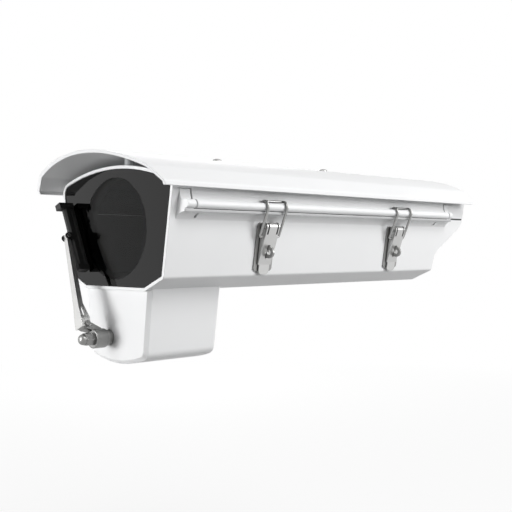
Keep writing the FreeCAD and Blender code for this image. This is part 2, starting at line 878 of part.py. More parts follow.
def lid_seal():
    """One loop: strips along the lips, risers on the end frames and bands over the two arches."""
    strip_top = rim_height + seal_proud
    y0 = front_seam_y
    y1 = rear_seam_y
    parts = []
    thick = seam_gap - lid_gap
    for sign in (-1, 1):
        side = [box(seal_inner, seal_outer, y0, y1, rim_height - seal_depth, strip_top)]
        for start in (y0, y1 - thick):
            low = rail_inner + seal_riser_inset
            high = rail_inner + seal_riser_taper
            riser = plate_y([(low, rim_height), (seal_outer, rim_height), (seal_outer, strip_top),
                             (high, land_height), (low, land_height)], start, start + thick)
            side.append(riser)
        parts += side if sign > 0 else [mirrored(piece) for piece in side]
    for start, end in ((y0 - seal_band_length, y0), (y1, y1 + seal_band_length)):
        arch = section(land_inset - seal_band_thick, start, end).cut(section(land_inset, start - 1, end + 1))
        parts.append(arch.common(box(-far, far, start, end, land_height, far)))
    for start in (y0, y1 - thick):
        web = section(land_inset - seal_band_thick, start, start + thick)
        web = web.cut(section(land_inset + seal_web_depth, start - 1, start + thick + 1))
        parts.append(web.common(box(-far, far, start, start + thick, land_height, far)))
    return fuse(parts)


# Lid

def top_cover():
    low = box(-far, far, lid_front_y, lid_back_y, land_height + lid_gap, far)
    shell = section(0, lid_front_y, lid_back_y).cut(section(wall, lid_front_y - 1, lid_back_y + 1))
    shell = shell.common(low)
    y0 = front_seam_y + seam_gap
    y1 = rear_seam_y - seam_gap
    rail = rail_section(rim_height + rail_lift, y0, y1)
    parts = [rail, mirrored(rail)]
    for y in (spacer_middle_y, spacer_rear_y):
        rib = section(wall / 2, y - rib_width / 2, y + rib_width / 2)
        rib = rib.cut(section(wall + rib_depth, y - rib_width, y + rib_width))
        parts.append(rib.common(box(-far, far, y - far, y + far, band_top - 1, far)))
        boss_at = V(0, y, arch_height - wall - rib_depth)
        parts.append(cylinder(spacer_radius + rib_boss_wall, boss_at, Z, rib_depth + wall / 2))
    for y in latch_places:
        parts += hinge_parts(y, "lid")
    shell = shell.fuse(parts)
    for y in (spacer_middle_y, spacer_rear_y):
        shell = shell.cut(cylinder(hood_screw_radius, V(0, y, arch_height - 20), Z, 40))
    for y in latch_places:
        shell = shell.cut(hinge_bore(y, hinge_pin_radius + hinge_clearance))
    return shell.removeSplitter()


def sun_hood():
    """A bent sheet: a low arch, two flared skirts and a small upright lip at each edge."""
    bend_z = arch_z(hood_bend_half, hood_under, hood_radius)
    knee_z = hood_edge_height + hood_lip
    profile = [V(-hood_edge_half, 0, hood_edge_height), V(-hood_edge_half, 0, knee_z)]
    profile += [V(-hood_bend_half, 0, bend_z)]
    right = [V(-p.x, 0, p.z) for p in profile[::-1]]
    arch = Part.Arc(profile[2], V(0, 0, hood_under), right[0]).toShape()
    edges = [Part.makeLine(profile[0], profile[1]), Part.makeLine(profile[1], profile[2]), arch]
    edges += [Part.makeLine(right[0], right[1]), Part.makeLine(right[1], right[2])]
    low = V(0, 0, hood_edge_height - far)
    closing = [Part.makeLine(right[2], right[2] + low), Part.makeLine(right[2] + low, profile[0] + low)]
    closing += [Part.makeLine(profile[0] + low, profile[0])]
    inner = Part.Face(Part.Wire(edges + closing))
    length = hood_rear_y - hood_front_top_y + 10
    block = inner.extrude(V(0, length, 0))
    bends = edges_along(block, Y, lambda p: p.z > knee_z + 1)
    block = block.makeFillet(hood_round, bends)
    face = [f for f in block.Faces if f.CenterOfMass.y < 1e-6][0]
    outer = face.makeOffset2D(hood_thick)
    sheet_face = outer.cut(face)
    sheet_body = sheet_face.extrude(V(0, length, 0))
    sheet_body.translate(V(0, hood_front_top_y - 5, 0))
    top = hood_under + hood_thick
    rise = top - hood_edge_height
    window = [V(-far, hood_front_low_y, hood_edge_height)]
    window += [V(-far, hood_rear_y - hood_rear_rake, hood_edge_height)]
    window += [V(-far, hood_rear_y + hood_rear_rake, top + rise)]
    window += [V(-far, 2 * hood_front_top_y - hood_front_low_y, top + rise)]
    sheet_body = sheet_body.common(plate(window, V(2 * far, 0, 0)))
    for y in (spacer_middle_y, spacer_rear_y):
        sheet_body = sheet_body.cut(cylinder(hood_screw_radius, V(0, y, hood_under - 5), Z, 20))
    return sheet_body


def hood_screw(y):
    """Washer, domed head and a shank down through the spacer into the lid's boss."""
    top = hood_under + hood_thick
    washer = cylinder(hood_washer_radius, V(0, y, top), Z, hood_washer_thick)
    head = cylinder(hood_head_radius, V(0, y, top + hood_washer_thick), Z, hood_head_height)
    crown = [e for e in head.Edges if e.CenterOfMass.z > top + hood_head_height]
    head = head.makeFillet(hood_head_round, crown)
    low = arch_height - wall - rib_depth
    shank = cylinder(hood_screw_radius, V(0, y, low), Z, top - low + hood_screw_grip)
    return fuse([washer, head, shank])


def spacer(y, bored):
    body = cylinder(spacer_radius, V(0, y, arch_height), Z, hood_under - arch_height)
    start = V(0, y - 2 * spacer_radius, hood_under - hood_radius)
    body = body.common(cylinder(hood_radius, start, Y, 4 * spacer_radius))
    if bored:
        body = body.cut(cylinder(hood_screw_radius, V(0, y, arch_height - 1), Z, 20))
    return body


# Wiper pod

def pod_block(inset):
    """The pod's outer form, or its inside when it is drawn in by an inset."""
    top = pod_rise
    slope = (pod_top_half - pod_low_half) / -pod_low_z
    wide = pod_top_half + slope * top - inset
    narrow = pod_low_half - inset
    low = pod_low_z + inset
    right = V(narrow, 0, low)
    left = V(-narrow, 0, low)
    ring = [Part.makeLine(V(-wide, 0, top), V(wide, 0, top)), Part.makeLine(V(wide, 0, top), right)]
    ring.append(Part.Arc(right, V(0, 0, pod_middle_z + inset), left).toShape())
    ring.append(Part.makeLine(left, V(-wide, 0, top)))
    start = pod_front_y + inset
    face = Part.Face(Part.Wire(ring))
    face.translate(V(0, start, 0))
    back = pod_rear_y - inset
    lean = pod_rear_draft / -pod_low_z
    block = face.extrude(V(0, back + wall - start, 0))
    drafted = [V(-far, back + lean * far, far), V(-far, back + far, far), V(-far, back + far, -far)]
    drafted += [V(-far, back - lean * far, -far)]
    block = block.cut(plate(drafted, V(2 * far, 0, 0)))
    if inset == 0:
        block = block.makeFillet(pod_round, [e for e in block.Edges if e.BoundBox.YLength > 2 * pod_round
                                             and e.BoundBox.ZMax < pod_low_z + 1])
        fronts = [e for e in block.Edges if e.BoundBox.YMax < start + 0.01 and e.CenterOfMass.z < top - 0.1]
        block = block.makeChamfer(pod_bevel, fronts)
        rears = [e for e in block.Edges if e.CenterOfMass.z < top - 0.1
                 and abs(e.CenterOfMass.y - back - lean * e.CenterOfMass.z) < 1e-3]
        block = block.makeFillet(pod_rear_round, rears)
    return block


def wiper_pod():
    body = pod_block(0).cut(section(0, front_y, rear_y))
    hollow = pod_block(pod_wall)
    body = body.cut(hollow.common(box(-far, far, -far, far, -far, -0.01)))
    for x, y in pod_screws:
        body = body.fuse(cylinder(pod_boss_radius, V(x, y, -pod_boss_depth), Z, pod_boss_depth))
        body = body.cut(cylinder(pod_screw_radius, V(x, y, -pod_screw_depth), Z, pod_screw_depth + 1))
    body = body.cut(cylinder(bush_radius, V(shaft_x, pod_front_y - 1, shaft_z), Y, pod_wall + 2))
    return body.removeSplitter()


def pod_screw(x, y):
    return screw(V(x, y, wall), Z * -1, wall + pod_screw_grip, pod_screw_radius, pod_screw_head_radius,
                 pod_screw_head_height)


gearbox_front_y = pod_front_y + pod_wall + bush_inner_length


def wiper_drive_fixed():
    shaft_at = V(shaft_x, 0, shaft_z)
    bush = fuse([cylinder(collar_radius, shaft_at + V(0, pod_front_y - collar_length, 0), Y, collar_length),
                 cylinder(bush_radius, shaft_at + V(0, pod_front_y, 0), Y, pod_wall + bush_inner_length)])
    outer = [e for e in bush.Edges if abs(e.CenterOfMass.y - (pod_front_y - collar_length)) < 1e-6]
    bush = bush.makeFillet(collar_round, outer)
    bore = cylinder(shaft_radius + shaft_clearance, shaft_at + V(0, pod_front_y - 20, 0), Y, 60)
    bush = bush.cut(bore)
    save("shaft_bushing", [bush])
    box_end = gearbox_front_y + gearbox_length
    gearbox = box(shaft_x - gearbox_left, shaft_x + gearbox_right, gearbox_front_y, box_end,
                  gearbox_bottom, gearbox_top)
    gearbox = gearbox.makeFillet(gearbox_round, edges_along(gearbox, Y, lambda p: True))
    seat_radius = shaft_radius + shaft_clearance
    depth = gearbox_length - shaft_end_gap + 1
    gearbox = gearbox.cut(cylinder(seat_radius, shaft_at + V(0, gearbox_front_y - 1, 0), Y, depth + 1))
    for x, y in pod_screws:
        low = -pod_boss_depth - gearbox_boss_gap
        gearbox = gearbox.cut(cylinder(pod_boss_radius + gearbox_boss_gap, V(x, y, low), Z, pod_boss_depth))
    save("wiper_gearbox", [gearbox])
    motor = cylinder(motor_radius, V(motor_x, box_end, motor_z), Y, motor_length)
    far_rim = [e for e in motor.Edges if e.Closed and e.CenterOfMass.y > box_end + motor_length - 1e-6]
    motor = motor.makeFillet(motor_round, far_rim)
    tail_at = V(motor_x, box_end + motor_length, motor_z)
    motor = motor.fuse(cylinder(motor_tail_radius, tail_at, Y, motor_tail_length))
    save("wiper_motor", [motor])


def parked(shape):
    """Turns a shape drawn for an upright arm to the arm's parked angle."""
    turned = shape.copy()
    turned.rotate(V(shaft_x, 0, shaft_z), Y, park_angle)
    return turned


hub_front_y = pod_front_y - collar_length - hub_gap - hub_length
knuckle_y = hub_front_y - knuckle_front
knuckle_z = shaft_z + knuckle_rise


def wiper_hub():
    at = V(shaft_x, hub_front_y, shaft_z)
    barrel = cylinder(hub_radius, at, Y, hub_length)
    barrel = barrel.makeFillet(hub_round, [e for e in barrel.Edges if e.Closed])
    tip = cylinder(lug_round, V(shaft_x - lug_half, knuckle_y, knuckle_z), X, 2 * lug_half)
    low = shaft_z + nut_flats / math.sqrt(3) + hub_nut_gap
    hub_back_y = hub_front_y + hub_length
    path = [V(shaft_x - lug_half, hub_back_y - hub_root, low), V(shaft_x - lug_half, hub_front_y, low)]
    path += [V(shaft_x - lug_half, knuckle_y, knuckle_z - lug_round)]
    path += [V(shaft_x - lug_half, knuckle_y, knuckle_z + lug_round)]
    path += [V(shaft_x - lug_half, hub_back_y - hub_shoulder, shaft_z + hub_radius)]
    body = fuse([barrel, tip, plate(path, V(2 * lug_half, 0, 0))])
    body = body.cut(cylinder(shaft_radius, at - Y * 20, Y, 60))
    body = body.cut(cylinder(wiper_pin_radius, V(shaft_x - 20, knuckle_y, knuckle_z), X, 40))
    return parked(body)


def wiper_shaft():
    start = hub_front_y - nut_length - shaft_proud
    end = gearbox_front_y + gearbox_length - shaft_end_gap
    return cylinder(shaft_radius, V(shaft_x, start, shaft_z), Y, end - start)


def wiper_nut():
    """A domed nut: a hexagon, a short neck and a cap."""
    radius = nut_flats / math.sqrt(3)
    corners = [V(shaft_x + radius * math.cos(math.radians(60 * i)), hub_front_y - nut_length,
                 shaft_z + radius * math.sin(math.radians(60 * i))) for i in range(6)]
    hexagon = plate(corners, V(0, nut_length, 0))
    start = V(shaft_x, hub_front_y - nut_length, shaft_z)
    cone = Part.makeCone(radius - nut_bevel, radius - nut_bevel + nut_length, nut_length, start, Y)
    hexagon = hexagon.common(cone)
    top = hub_front_y - nut_length
    cap = cylinder(nut_flats / 2 - nut_dome_inset, V(shaft_x, top - nut_dome, shaft_z), Y, nut_dome)
    cap = cap.makeFillet(nut_dome * 0.8, [e for e in cap.Edges if e.Closed and e.CenterOfMass.y < top - 1])
    body = fuse([hexagon, cap])
    return body.cut(wiper_shaft())


def arm_solid(shrink):
    """The arm's outer form, or its hollow when it is drawn in by the sheet."""
    depths = [arm_base_depth, arm_base_depth, arm_neck_depth, arm_tip_depth]
    halves = [arm_base_half, arm_base_half, arm_neck_half, arm_tip_half]
    places = [arm_start, arm_flare, arm_neck, arm_end]
    base_y = knuckle_y - arm_front_base
    tip_y = front_y - blade_pin_out - arm_front_tip + arm_sheet / 2
    rings = []
    for place, half, depth in zip(places, halves, depths):
        share = (place - arm_start) / (blade_at - arm_start)
        y0 = base_y + (tip_y - base_y) * share + shrink
        y1 = y0 + depth if shrink == 0 else y0 + depth + 4
        w = half - shrink
        if shrink and place == arm_start:
            place -= 3
        if shrink and place == arm_end:
            place += 3
        ring = [V(shaft_x - w, y0, shaft_z + place), V(shaft_x + w, y0, shaft_z + place)]
        ring += [V(shaft_x + w, y1, shaft_z + place), V(shaft_x - w, y1, shaft_z + place)]
        rings.append(Part.makePolygon(ring + [ring[0]]))
    return Part.makeLoft(rings, True, True)


def wiper_arm():
    body = arm_solid(0).cut(arm_solid(arm_sheet))
    bore = cylinder(wiper_pin_radius + wiper_pin_clearance, V(shaft_x - 20, knuckle_y, knuckle_z), X, 40)
    body = body.cut(bore)
    tip_z = shaft_z + blade_at
    body = body.cut(cylinder(blade_pin_radius, V(shaft_x - 20, front_y - blade_pin_out, tip_z), X, 40))
    eye_y = knuckle_y - arm_eye_y
    for rise in (arm_eye_start, arm_eye_end):
        body = body.cut(cylinder(arm_eye_radius, V(shaft_x - 20, eye_y, shaft_z + rise), X, 40))
    body = body.cut(box(shaft_x - 20, shaft_x + 20, eye_y - arm_eye_radius, eye_y + arm_eye_radius,
                        shaft_z + arm_eye_start, shaft_z + arm_eye_end))
    return parked(body)


def arm_spring():
    """Close-wound coils drawn as rings on a core rod, lying along the arm's hollow."""
    base_y = knuckle_y - arm_front_base
    tip_y = front_y - blade_pin_out - arm_front_tip + arm_sheet / 2
    rise = V(0, tip_y - base_y, blade_at - arm_start)
    along = rise.normalize()
    start = V(shaft_x, base_y + arm_sheet + spring_radius + spring_gap, shaft_z + arm_start)
    first = start + along * (arm_neck - arm_start)
    middle = spring_radius - spring_wire
    coils = [Part.makeTorus(middle, spring_wire, first + along * (2 * spring_wire * i), along)
             for i in range(spring_coils)]
    coiled = (spring_coils - 1) * 2 * spring_wire
    rod = cylinder(spring_wire, first - along * spring_tail, along, coiled + 2 * spring_tail)
    rod = cylinder(middle, first, along, coiled).fuse(rod)
    return parked(fuse([rod] + coils))


blade_pin_y = front_y - blade_pin_out


def blade_carrier():
    y_back = front_y - blade_back
    y_face = front_y - blade_face
    z0 = shaft_z + blade_bottom
    z1 = shaft_z + blade_top
    pairs = [(-blade_half, y_face), (-blade_half, y_back + blade_crown), (-blade_crown_half, y_back)]
    pairs += [(-x, y) for x, y in pairs[::-1]]
    bar = plate([V(shaft_x + x, y, z0) for x, y in pairs], V(0, 0, z1 - z0))
    parts = [bar]
    for start, proud in ((z0, blade_low_clip), (z1 - blade_clip, blade_high_clip)):
        half = blade_half + blade_clip_proud
        parts.append(box(shaft_x - half, shaft_x + half, y_back - proud, front_y - blade_clip_gap,
                         start, start + blade_clip))
    middle = shaft_z + blade_at
    yoke_half = arm_tip_half + yoke_gap
    for side in (-1, 1):
        x0 = shaft_x + (yoke_half if side > 0 else -yoke_half - yoke_wall)
        ear = box(x0, x0 + yoke_wall, blade_pin_y, y_back + blade_ear_root, middle - blade_ear_radius,
                  middle + blade_ear_radius)
        tip = cylinder(blade_ear_radius, V(x0, blade_pin_y, middle), X, yoke_wall)
        parts += [ear, tip]
    body = fuse(parts)
    slot = box(shaft_x - rubber_half, shaft_x + rubber_half, y_face - rubber_root, front_y + 1,
               z0 + rubber_inset, z1 - rubber_inset)
    body = body.cut(slot)
    radius = blade_pin_radius + blade_pin_clearance
    body = body.cut(cylinder(radius, V(shaft_x - 20, blade_pin_y, middle), X, 40))
    return parked(body)


def blade_rubber():
    y_in = front_y - blade_face - rubber_root
    touch = front_y + glass_recess - rubber_gap
    z0 = shaft_z + blade_bottom + rubber_inset
    z1 = shaft_z + blade_top - rubber_inset
    neck = front_y - blade_face + rubber_neck
    pairs = [(-rubber_half, y_in), (-rubber_half, neck - 1), (-rubber_neck_half, neck)]
    pairs += [(-rubber_flare, neck + rubber_neck), (-rubber_lip, touch)]
    pairs += [(-x, y) for x, y in pairs[::-1]]
    return parked(plate([V(shaft_x + x, y, z0) for x, y in pairs], V(0, 0, z1 - z0)))


def wiper_pins():
    reach = arm_base_half + 1.3
    pin = cylinder(wiper_pin_radius, V(shaft_x - reach, knuckle_y, knuckle_z), X, 2 * reach)
    head = cylinder(wiper_pin_radius + 0.8, V(shaft_x + reach - 0.8, knuckle_y, knuckle_z), X, 0.9)
    save("knuckle_pin", [parked(fuse([pin, head]))])
    reach = arm_tip_half + yoke_gap + yoke_wall + 0.6
    middle = shaft_z + blade_at
    pin = cylinder(blade_pin_radius, V(shaft_x - reach, blade_pin_y, middle), X, 2 * reach)
    head = cylinder(blade_pin_radius + 0.7, V(shaft_x + reach - 0.5, blade_pin_y, middle), X, 0.7)
    save("blade_pin", [parked(fuse([pin, head]))])


# Cable glands

def gland(side):
    out = slant_out
    seat = gland_point(side, 0)
    radius = gland_hex / math.sqrt(3)
    along = slant.cross(slant_out).normalize()
    corners = [seat + slant * (radius * math.cos(math.radians(60 * i)))
               + along * (radius * math.sin(math.radians(60 * i))) for i in range(6)]
    hexagon = plate(corners, out * gland_hex_thick)
    thread = cylinder(gland_thread_radius, seat - out * gland_inside, out, gland_inside + 1)
    neck = cylinder(gland_body_radius, seat + out * gland_hex_thick, out, gland_body_length)
    body = fuse([hexagon, thread, neck])
    body = body.cut(cylinder(gland_seal_radius, seat - out * (gland_inside + 1), out, far))
    nut_at = seat + out * (gland_hex_thick + gland_nut_gap)
    nut = cylinder(gland_nut_radius, nut_at, out, gland_nut_length)
    rim = [e for e in nut.Edges if e.Closed and (e.CenterOfMass - nut_at).dot(out) > 1]
    nut = nut.makeFillet(gland_nut_round, rim)
    nut = nut.cut(cylinder(gland_body_radius, nut_at - out, out, gland_body_length - gland_seat_gap))
    nut = nut.cut(cylinder(gland_seal_radius, nut_at - out, out, far))
    length = gland_hex_thick + gland_nut_length
    seal = cylinder(gland_seal_radius, seat - out * gland_seal_inside, out, length)
    return body, nut, seal


def locknut(side):
    radius = (gland_hex + locknut_extra) / math.sqrt(3)
    seat = gland_point(side, -wall)
    along = slant.cross(slant_out).normalize()
    corners = [seat + slant * (radius * math.cos(math.radians(60 * i)))
               + along * (radius * math.sin(math.radians(60 * i))) for i in range(6)]
    body = plate(corners, slant_out * -locknut_thick)
    return body.cut(cylinder(gland_thread_radius, gland_point(side, 1), slant_out * -1, 20))


# Inside fittings

def inside_parts():
    top = rail_plate_height + rail_plate_thick
    half = rail_plate_half
    rail = box(-half, half, rail_plate_front_y, rail_plate_rear_y, rail_plate_height, top)
    rail = rail.makeFillet(rail_round, edges_along(rail, Z, lambda p: True))
    slot = box(-rail_slot_half, rail_slot_half, rail_plate_front_y + rail_slot_inset,
               rail_plate_rear_y - rail_slot_inset, rail_plate_height - 1, top + 1)
    rail = rail.cut(slot.makeFillet(rail_slot_half - 0.01, edges_along(slot, Z, lambda p: True)))
    for x, y in rail_posts:
        rail = rail.cut(cylinder(screw_radius, V(x, y, 0), Z, 40))
    save("camera_rail", [rail])
    screws = [screw(V(x, y, top), Z * -1, rail_plate_thick + rail_screw_grip) for x, y in rail_posts]
    low = top + carriage_gap
    y0 = carriage_middle_y - carriage_length / 2
    half = rail_post_x - screw_head_radius - carriage_side_gap
    sled = box(-half, half, y0, y0 + carriage_length, low, low + carriage_thick)
    sled = sled.makeFillet(carriage_round, edges_along(sled, Z, lambda p: True))
    for end in (-1, 1):
        mid = carriage_middle_y + end * key_pitch / 2
        key = box(-rail_slot_half + key_clearance, rail_slot_half - key_clearance, mid - key_length / 2,
                  mid + key_length / 2, rail_plate_height, low + 1)
        sled = sled.fuse(key)
    sled = sled.removeSplitter()
    sled = sled.cut(cylinder(camera_thread_radius, V(0, carriage_middle_y, 0), Z, 60))
    save("camera_carriage", [sled])
    stud = cylinder(camera_thread_radius, V(0, carriage_middle_y, low - camera_thread_root), Z,
                    camera_thread_root + carriage_thick + camera_thread_length)
    ring = cylinder(camera_ring_radius, V(0, carriage_middle_y, low + carriage_thick), Z, camera_ring_height)
    ring = ring.makeChamfer(camera_ring_bevel, [e for e in ring.Edges if e.Closed])
    save("camera_screw", [fuse([stud, ring])])
    foot = floor_post_height
    heater = [box(-heater_half, heater_half, heater_front_y, heater_front_y + heater_length, foot,
                  foot + heater_base_thick)]
    pitch = (2 * (heater_half - heater_fin_inset) - heater_fin_thick) / (heater_fins - 1)
    for i in range(heater_fins):
        x = -heater_half + heater_fin_inset + i * pitch
        heater.append(box(x, x + heater_fin_thick, heater_front_y, heater_front_y + heater_length,
                          foot + heater_base_thick - 1, foot + heater_base_thick + heater_fin_height))
    heater = fuse(heater)
    for x, y in heater_posts:
        heater = heater.cut(cylinder(screw_radius, V(x, y, 0), Z, 60))
    save("heater", [heater])
    for x, y in heater_posts:
        screws.append(screw(V(x, y, foot + heater_base_thick), Z * -1, heater_base_thick + screw_grip))
    y0 = board_front_y
    board = box(-board_half, board_half, y0, y0 + board_length, foot, foot + board_thick)
    for x, y in board_posts:
        board = board.cut(cylinder(screw_radius, V(x, y, 0), Z, 60))
    save("power_board", [board])
    screws += [screw(V(x, y, foot + board_thick), Z * -1, board_thick + screw_grip) for x, y in board_posts]
    save("inner_screws", screws)
    low = foot + board_thick
    y0 = board_front_y + terminal_inset
    block = box(-terminal_half, terminal_half, y0, y0 + terminal_depth, low, low + terminal_height)
    pitch = 2 * terminal_half / terminal_ways
    for i in range(terminal_ways):
        hole_at = V(-terminal_half + (i + 0.5) * pitch, y0 + terminal_depth / 2, low + terminal_floor)
        block = block.cut(cylinder(terminal_hole_radius, hole_at, Z, 20))
    save("terminal_block", [block])
    middle = V(0, fan_front_y, foot + fan_half)
    frame = box(-fan_half, fan_half, fan_front_y, fan_front_y + fan_thick, foot, foot + 2 * fan_half)
    frame = frame.makeFillet(fan_round, edges_along(frame, Y, lambda p: p.z > foot + 1))
    frame = frame.cut(cylinder(fan_hole_radius, middle - Y, Y, fan_thick + 2))
    back = fan_thick - fan_strut
    hub = cylinder(fan_hub_radius, middle + Y * back, Y, fan_strut)
    reach = fan_hole_radius + fan_strut_root
    struts = [box(-reach, reach, fan_front_y + back, fan_front_y + fan_thick, middle.z - fan_strut,
                  middle.z + fan_strut)]
    struts.append(box(-fan_strut, fan_strut, fan_front_y + back, fan_front_y + fan_thick, middle.z - reach,
                      middle.z + reach))
    frame = fuse([frame, hub] + struts)
    spindle = cylinder(fan_shaft_radius, middle + Y * fan_shaft_start, Y, fan_thick - fan_shaft_start)
    frame = frame.fuse(spindle).removeSplitter()
    save("fan_frame", [frame])
    rotor = [cylinder(fan_hub_radius, middle + Y * fan_rotor_gap, Y, back - 2 * fan_rotor_gap)]
    for i in range(fan_blades):
        tip = fan_hole_radius - fan_tip_gap
        thick = fan_blade_thick
        blade = box(fan_hub_radius - 1, tip, -thick / 2, thick / 2, -fan_blade_half, fan_blade_half)
        blade.rotate(V(0, 0, 0), X, fan_blade_turn)
        blade.rotate(V(0, 0, 0), Y, 360.0 * i / fan_blades)
        blade.translate(middle + Y * (back / 2))
        rotor.append(blade)
    rotor = fuse(rotor)
    rotor = rotor.cut(cylinder(fan_shaft_radius + shaft_clearance, middle + Y * fan_bore_start, Y, back))
    save("fan_rotor", [rotor])


save("base_housing", [base_housing()])
window_parts()
save("lid_seal", [lid_seal()])
save("top_cover", [top_cover()])
save("sun_hood", [sun_hood()])
save("hood_spacer_front", [spacer(spacer_front_y, False)])
save("hood_spacer_middle", [spacer(spacer_middle_y, True)])
save("hood_spacer_rear", [spacer(spacer_rear_y, True)])
save("hood_screws", [hood_screw(y) for y in (spacer_middle_y, spacer_rear_y)])
for name, y in zip(("front", "rear"), latch_places):
    save("latch_base_" + name, [latch_base(y)])
    save("latch_lever_" + name, [latch_lever(y)])
    save("latch_bail_" + name, [latch_bail(y)])
    save("latch_pin_" + name, [latch_pin(y)])
    reach = hinge_mid_length / 2 + hinge_gap + hinge_end_length
    pin = cylinder(hinge_pin_radius, V(-hinge_half, y - reach, hinge_height), Y, 2 * reach)
    save("hinge_pin_" + name, [pin])
save("latch_rivets", [rivet(at) for y in latch_places for at in rivet_points(y)])
save("wiper_pod", [wiper_pod()])
save("pod_screws", [pod_screw(x, y) for x, y in pod_screws])
wiper_drive_fixed()
save("wiper_shaft", [wiper_shaft()])
save("wiper_hub", [wiper_hub()])
save("wiper_nut", [wiper_nut()])
save("wiper_arm", [wiper_arm()])
save("arm_spring", [arm_spring()])
save("blade_carrier", [blade_carrier()])
save("blade_rubber", [blade_rubber()])
wiper_pins()
for name, side in (("left", -1), ("right", 1)):
    body, nut, seal = gland(side)
    save("gland_body_" + name, [body])
    save("gland_nut_" + name, [nut])
    save("gland_seal_" + name, [seal])
save("gland_locknuts", [locknut(-1), locknut(1)])
inside_parts()
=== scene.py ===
import bpy, bmesh, math
from mathutils import Matrix, Vector


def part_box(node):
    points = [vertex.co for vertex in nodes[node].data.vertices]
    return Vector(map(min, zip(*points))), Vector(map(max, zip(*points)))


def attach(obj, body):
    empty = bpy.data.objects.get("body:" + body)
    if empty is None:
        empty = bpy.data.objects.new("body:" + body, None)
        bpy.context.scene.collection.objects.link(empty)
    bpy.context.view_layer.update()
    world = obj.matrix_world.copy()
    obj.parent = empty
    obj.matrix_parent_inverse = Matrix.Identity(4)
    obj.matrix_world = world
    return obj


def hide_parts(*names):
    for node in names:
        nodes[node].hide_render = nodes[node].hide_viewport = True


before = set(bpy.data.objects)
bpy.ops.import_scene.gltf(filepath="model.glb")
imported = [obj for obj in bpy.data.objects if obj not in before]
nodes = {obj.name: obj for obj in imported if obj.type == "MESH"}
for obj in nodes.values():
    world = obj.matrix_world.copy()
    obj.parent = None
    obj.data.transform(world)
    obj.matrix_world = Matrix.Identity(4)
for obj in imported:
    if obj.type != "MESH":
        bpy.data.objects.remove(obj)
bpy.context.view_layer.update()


# The room: a wide pale floor and a pale wall of light all round, with the camera where the photographer stood.
# The housing hangs from its bracket holes, so the floor is well below it and keeps only a soft shadow.
scene = bpy.context.scene
scene.view_settings.view_transform = "Standard"

camera_data = bpy.data.cameras.new("camera")
camera_data.sensor_width = 36.0
camera_data.lens = 61.62
camera = bpy.data.objects.new("camera", camera_data)
camera.location = (0.5873, -0.6372, 0.0345)
camera.rotation_euler = (math.radians(89.45), 0.0, math.radians(44.6))
scene.collection.objects.link(camera)
scene.camera = camera


def seen_level(tree, unseen, seen):
    """One level for rays that see the room, straight or in metal and through the pane once, and one for the rest."""
    matt_bounce_costs, most_spent = 3.0, 2.5
    path = tree.nodes.new("ShaderNodeLightPath")
    level = tree.nodes.new("ShaderNodeMapRange")
    level.inputs["To Min"].default_value = unseen
    level.inputs["To Max"].default_value = seen
    rays = path.outputs["Is Camera Ray"]
    for name in ("Is Glossy Ray", "Is Transmission Ray"):
        either = tree.nodes.new("ShaderNodeMath")
        either.operation = "MAXIMUM"
        tree.links.new(rays, either.inputs[0])
        tree.links.new(path.outputs[name], either.inputs[1])
        rays = either.outputs["Value"]
    spent = tree.nodes.new("ShaderNodeMath")
    spent.operation = "MULTIPLY_ADD"
    spent.inputs[1].default_value = matt_bounce_costs
    tree.links.new(path.outputs["Diffuse Depth"], spent.inputs[0])
    tree.links.new(path.outputs["Transmission Depth"], spent.inputs[2])
    direct = tree.nodes.new("ShaderNodeMath")
    direct.operation = "LESS_THAN"
    direct.inputs[1].default_value = most_spent
    tree.links.new(spent.outputs["Value"], direct.inputs[0])
    both = tree.nodes.new("ShaderNodeMath")
    both.operation = "MULTIPLY"
    tree.links.new(rays, both.inputs[0])
    tree.links.new(direct.outputs["Value"], both.inputs[1])
    tree.links.new(both.outputs["Value"], level.inputs["Value"])
    return level.outputs["Result"]


room = bpy.data.worlds.new("pale_room")
room.use_nodes = True
scene.world = room
room_level = room.node_tree.nodes["Background"]
room_level.inputs["Color"].default_value = (1.0, 1.0, 1.0, 1.0)
room.node_tree.links.new(seen_level(room.node_tree, 0.1, 1.0), room_level.inputs["Strength"])

floor_height, floor_half = -0.36, 9.0
floor_mesh = bpy.data.meshes.new("floor")
corners = ((-floor_half, -floor_half), (floor_half, -floor_half), (floor_half, floor_half), (-floor_half, floor_half))
floor_mesh.from_pydata([(x, y, floor_height) for x, y in corners], [], [(0, 1, 2, 3)])
floor = bpy.data.objects.new("floor", floor_mesh)
scene.collection.objects.link(floor)

floor_paint = bpy.data.materials.new("floor_paint")
floor_paint.use_nodes = True
floor_tree = floor_paint.node_tree
matte = floor_tree.nodes["Principled BSDF"]
matte.inputs["Roughness"].default_value = 0.9
floor_tree.links.new(seen_level(floor_tree, 0.35, 0.9), matte.inputs["Base Color"])
seen_white = floor_tree.nodes.new("ShaderNodeEmission")
floor_at = floor_tree.nodes.new("ShaderNodeTexCoord")
floor_reach = floor_tree.nodes.new("ShaderNodeVectorMath")
floor_reach.operation = "LENGTH"
fade_start, fade_end, white_at_start = 0.5, 2.2, 0.8
fade = floor_tree.nodes.new("ShaderNodeMapRange")
fade.inputs["From Min"].default_value = fade_start
fade.inputs["From Max"].default_value = fade_end
fade.inputs["To Min"].default_value = white_at_start
seen_share = floor_tree.nodes.new("ShaderNodeMath")
seen_share.operation = "MULTIPLY"
floor_mix = floor_tree.nodes.new("ShaderNodeMixShader")
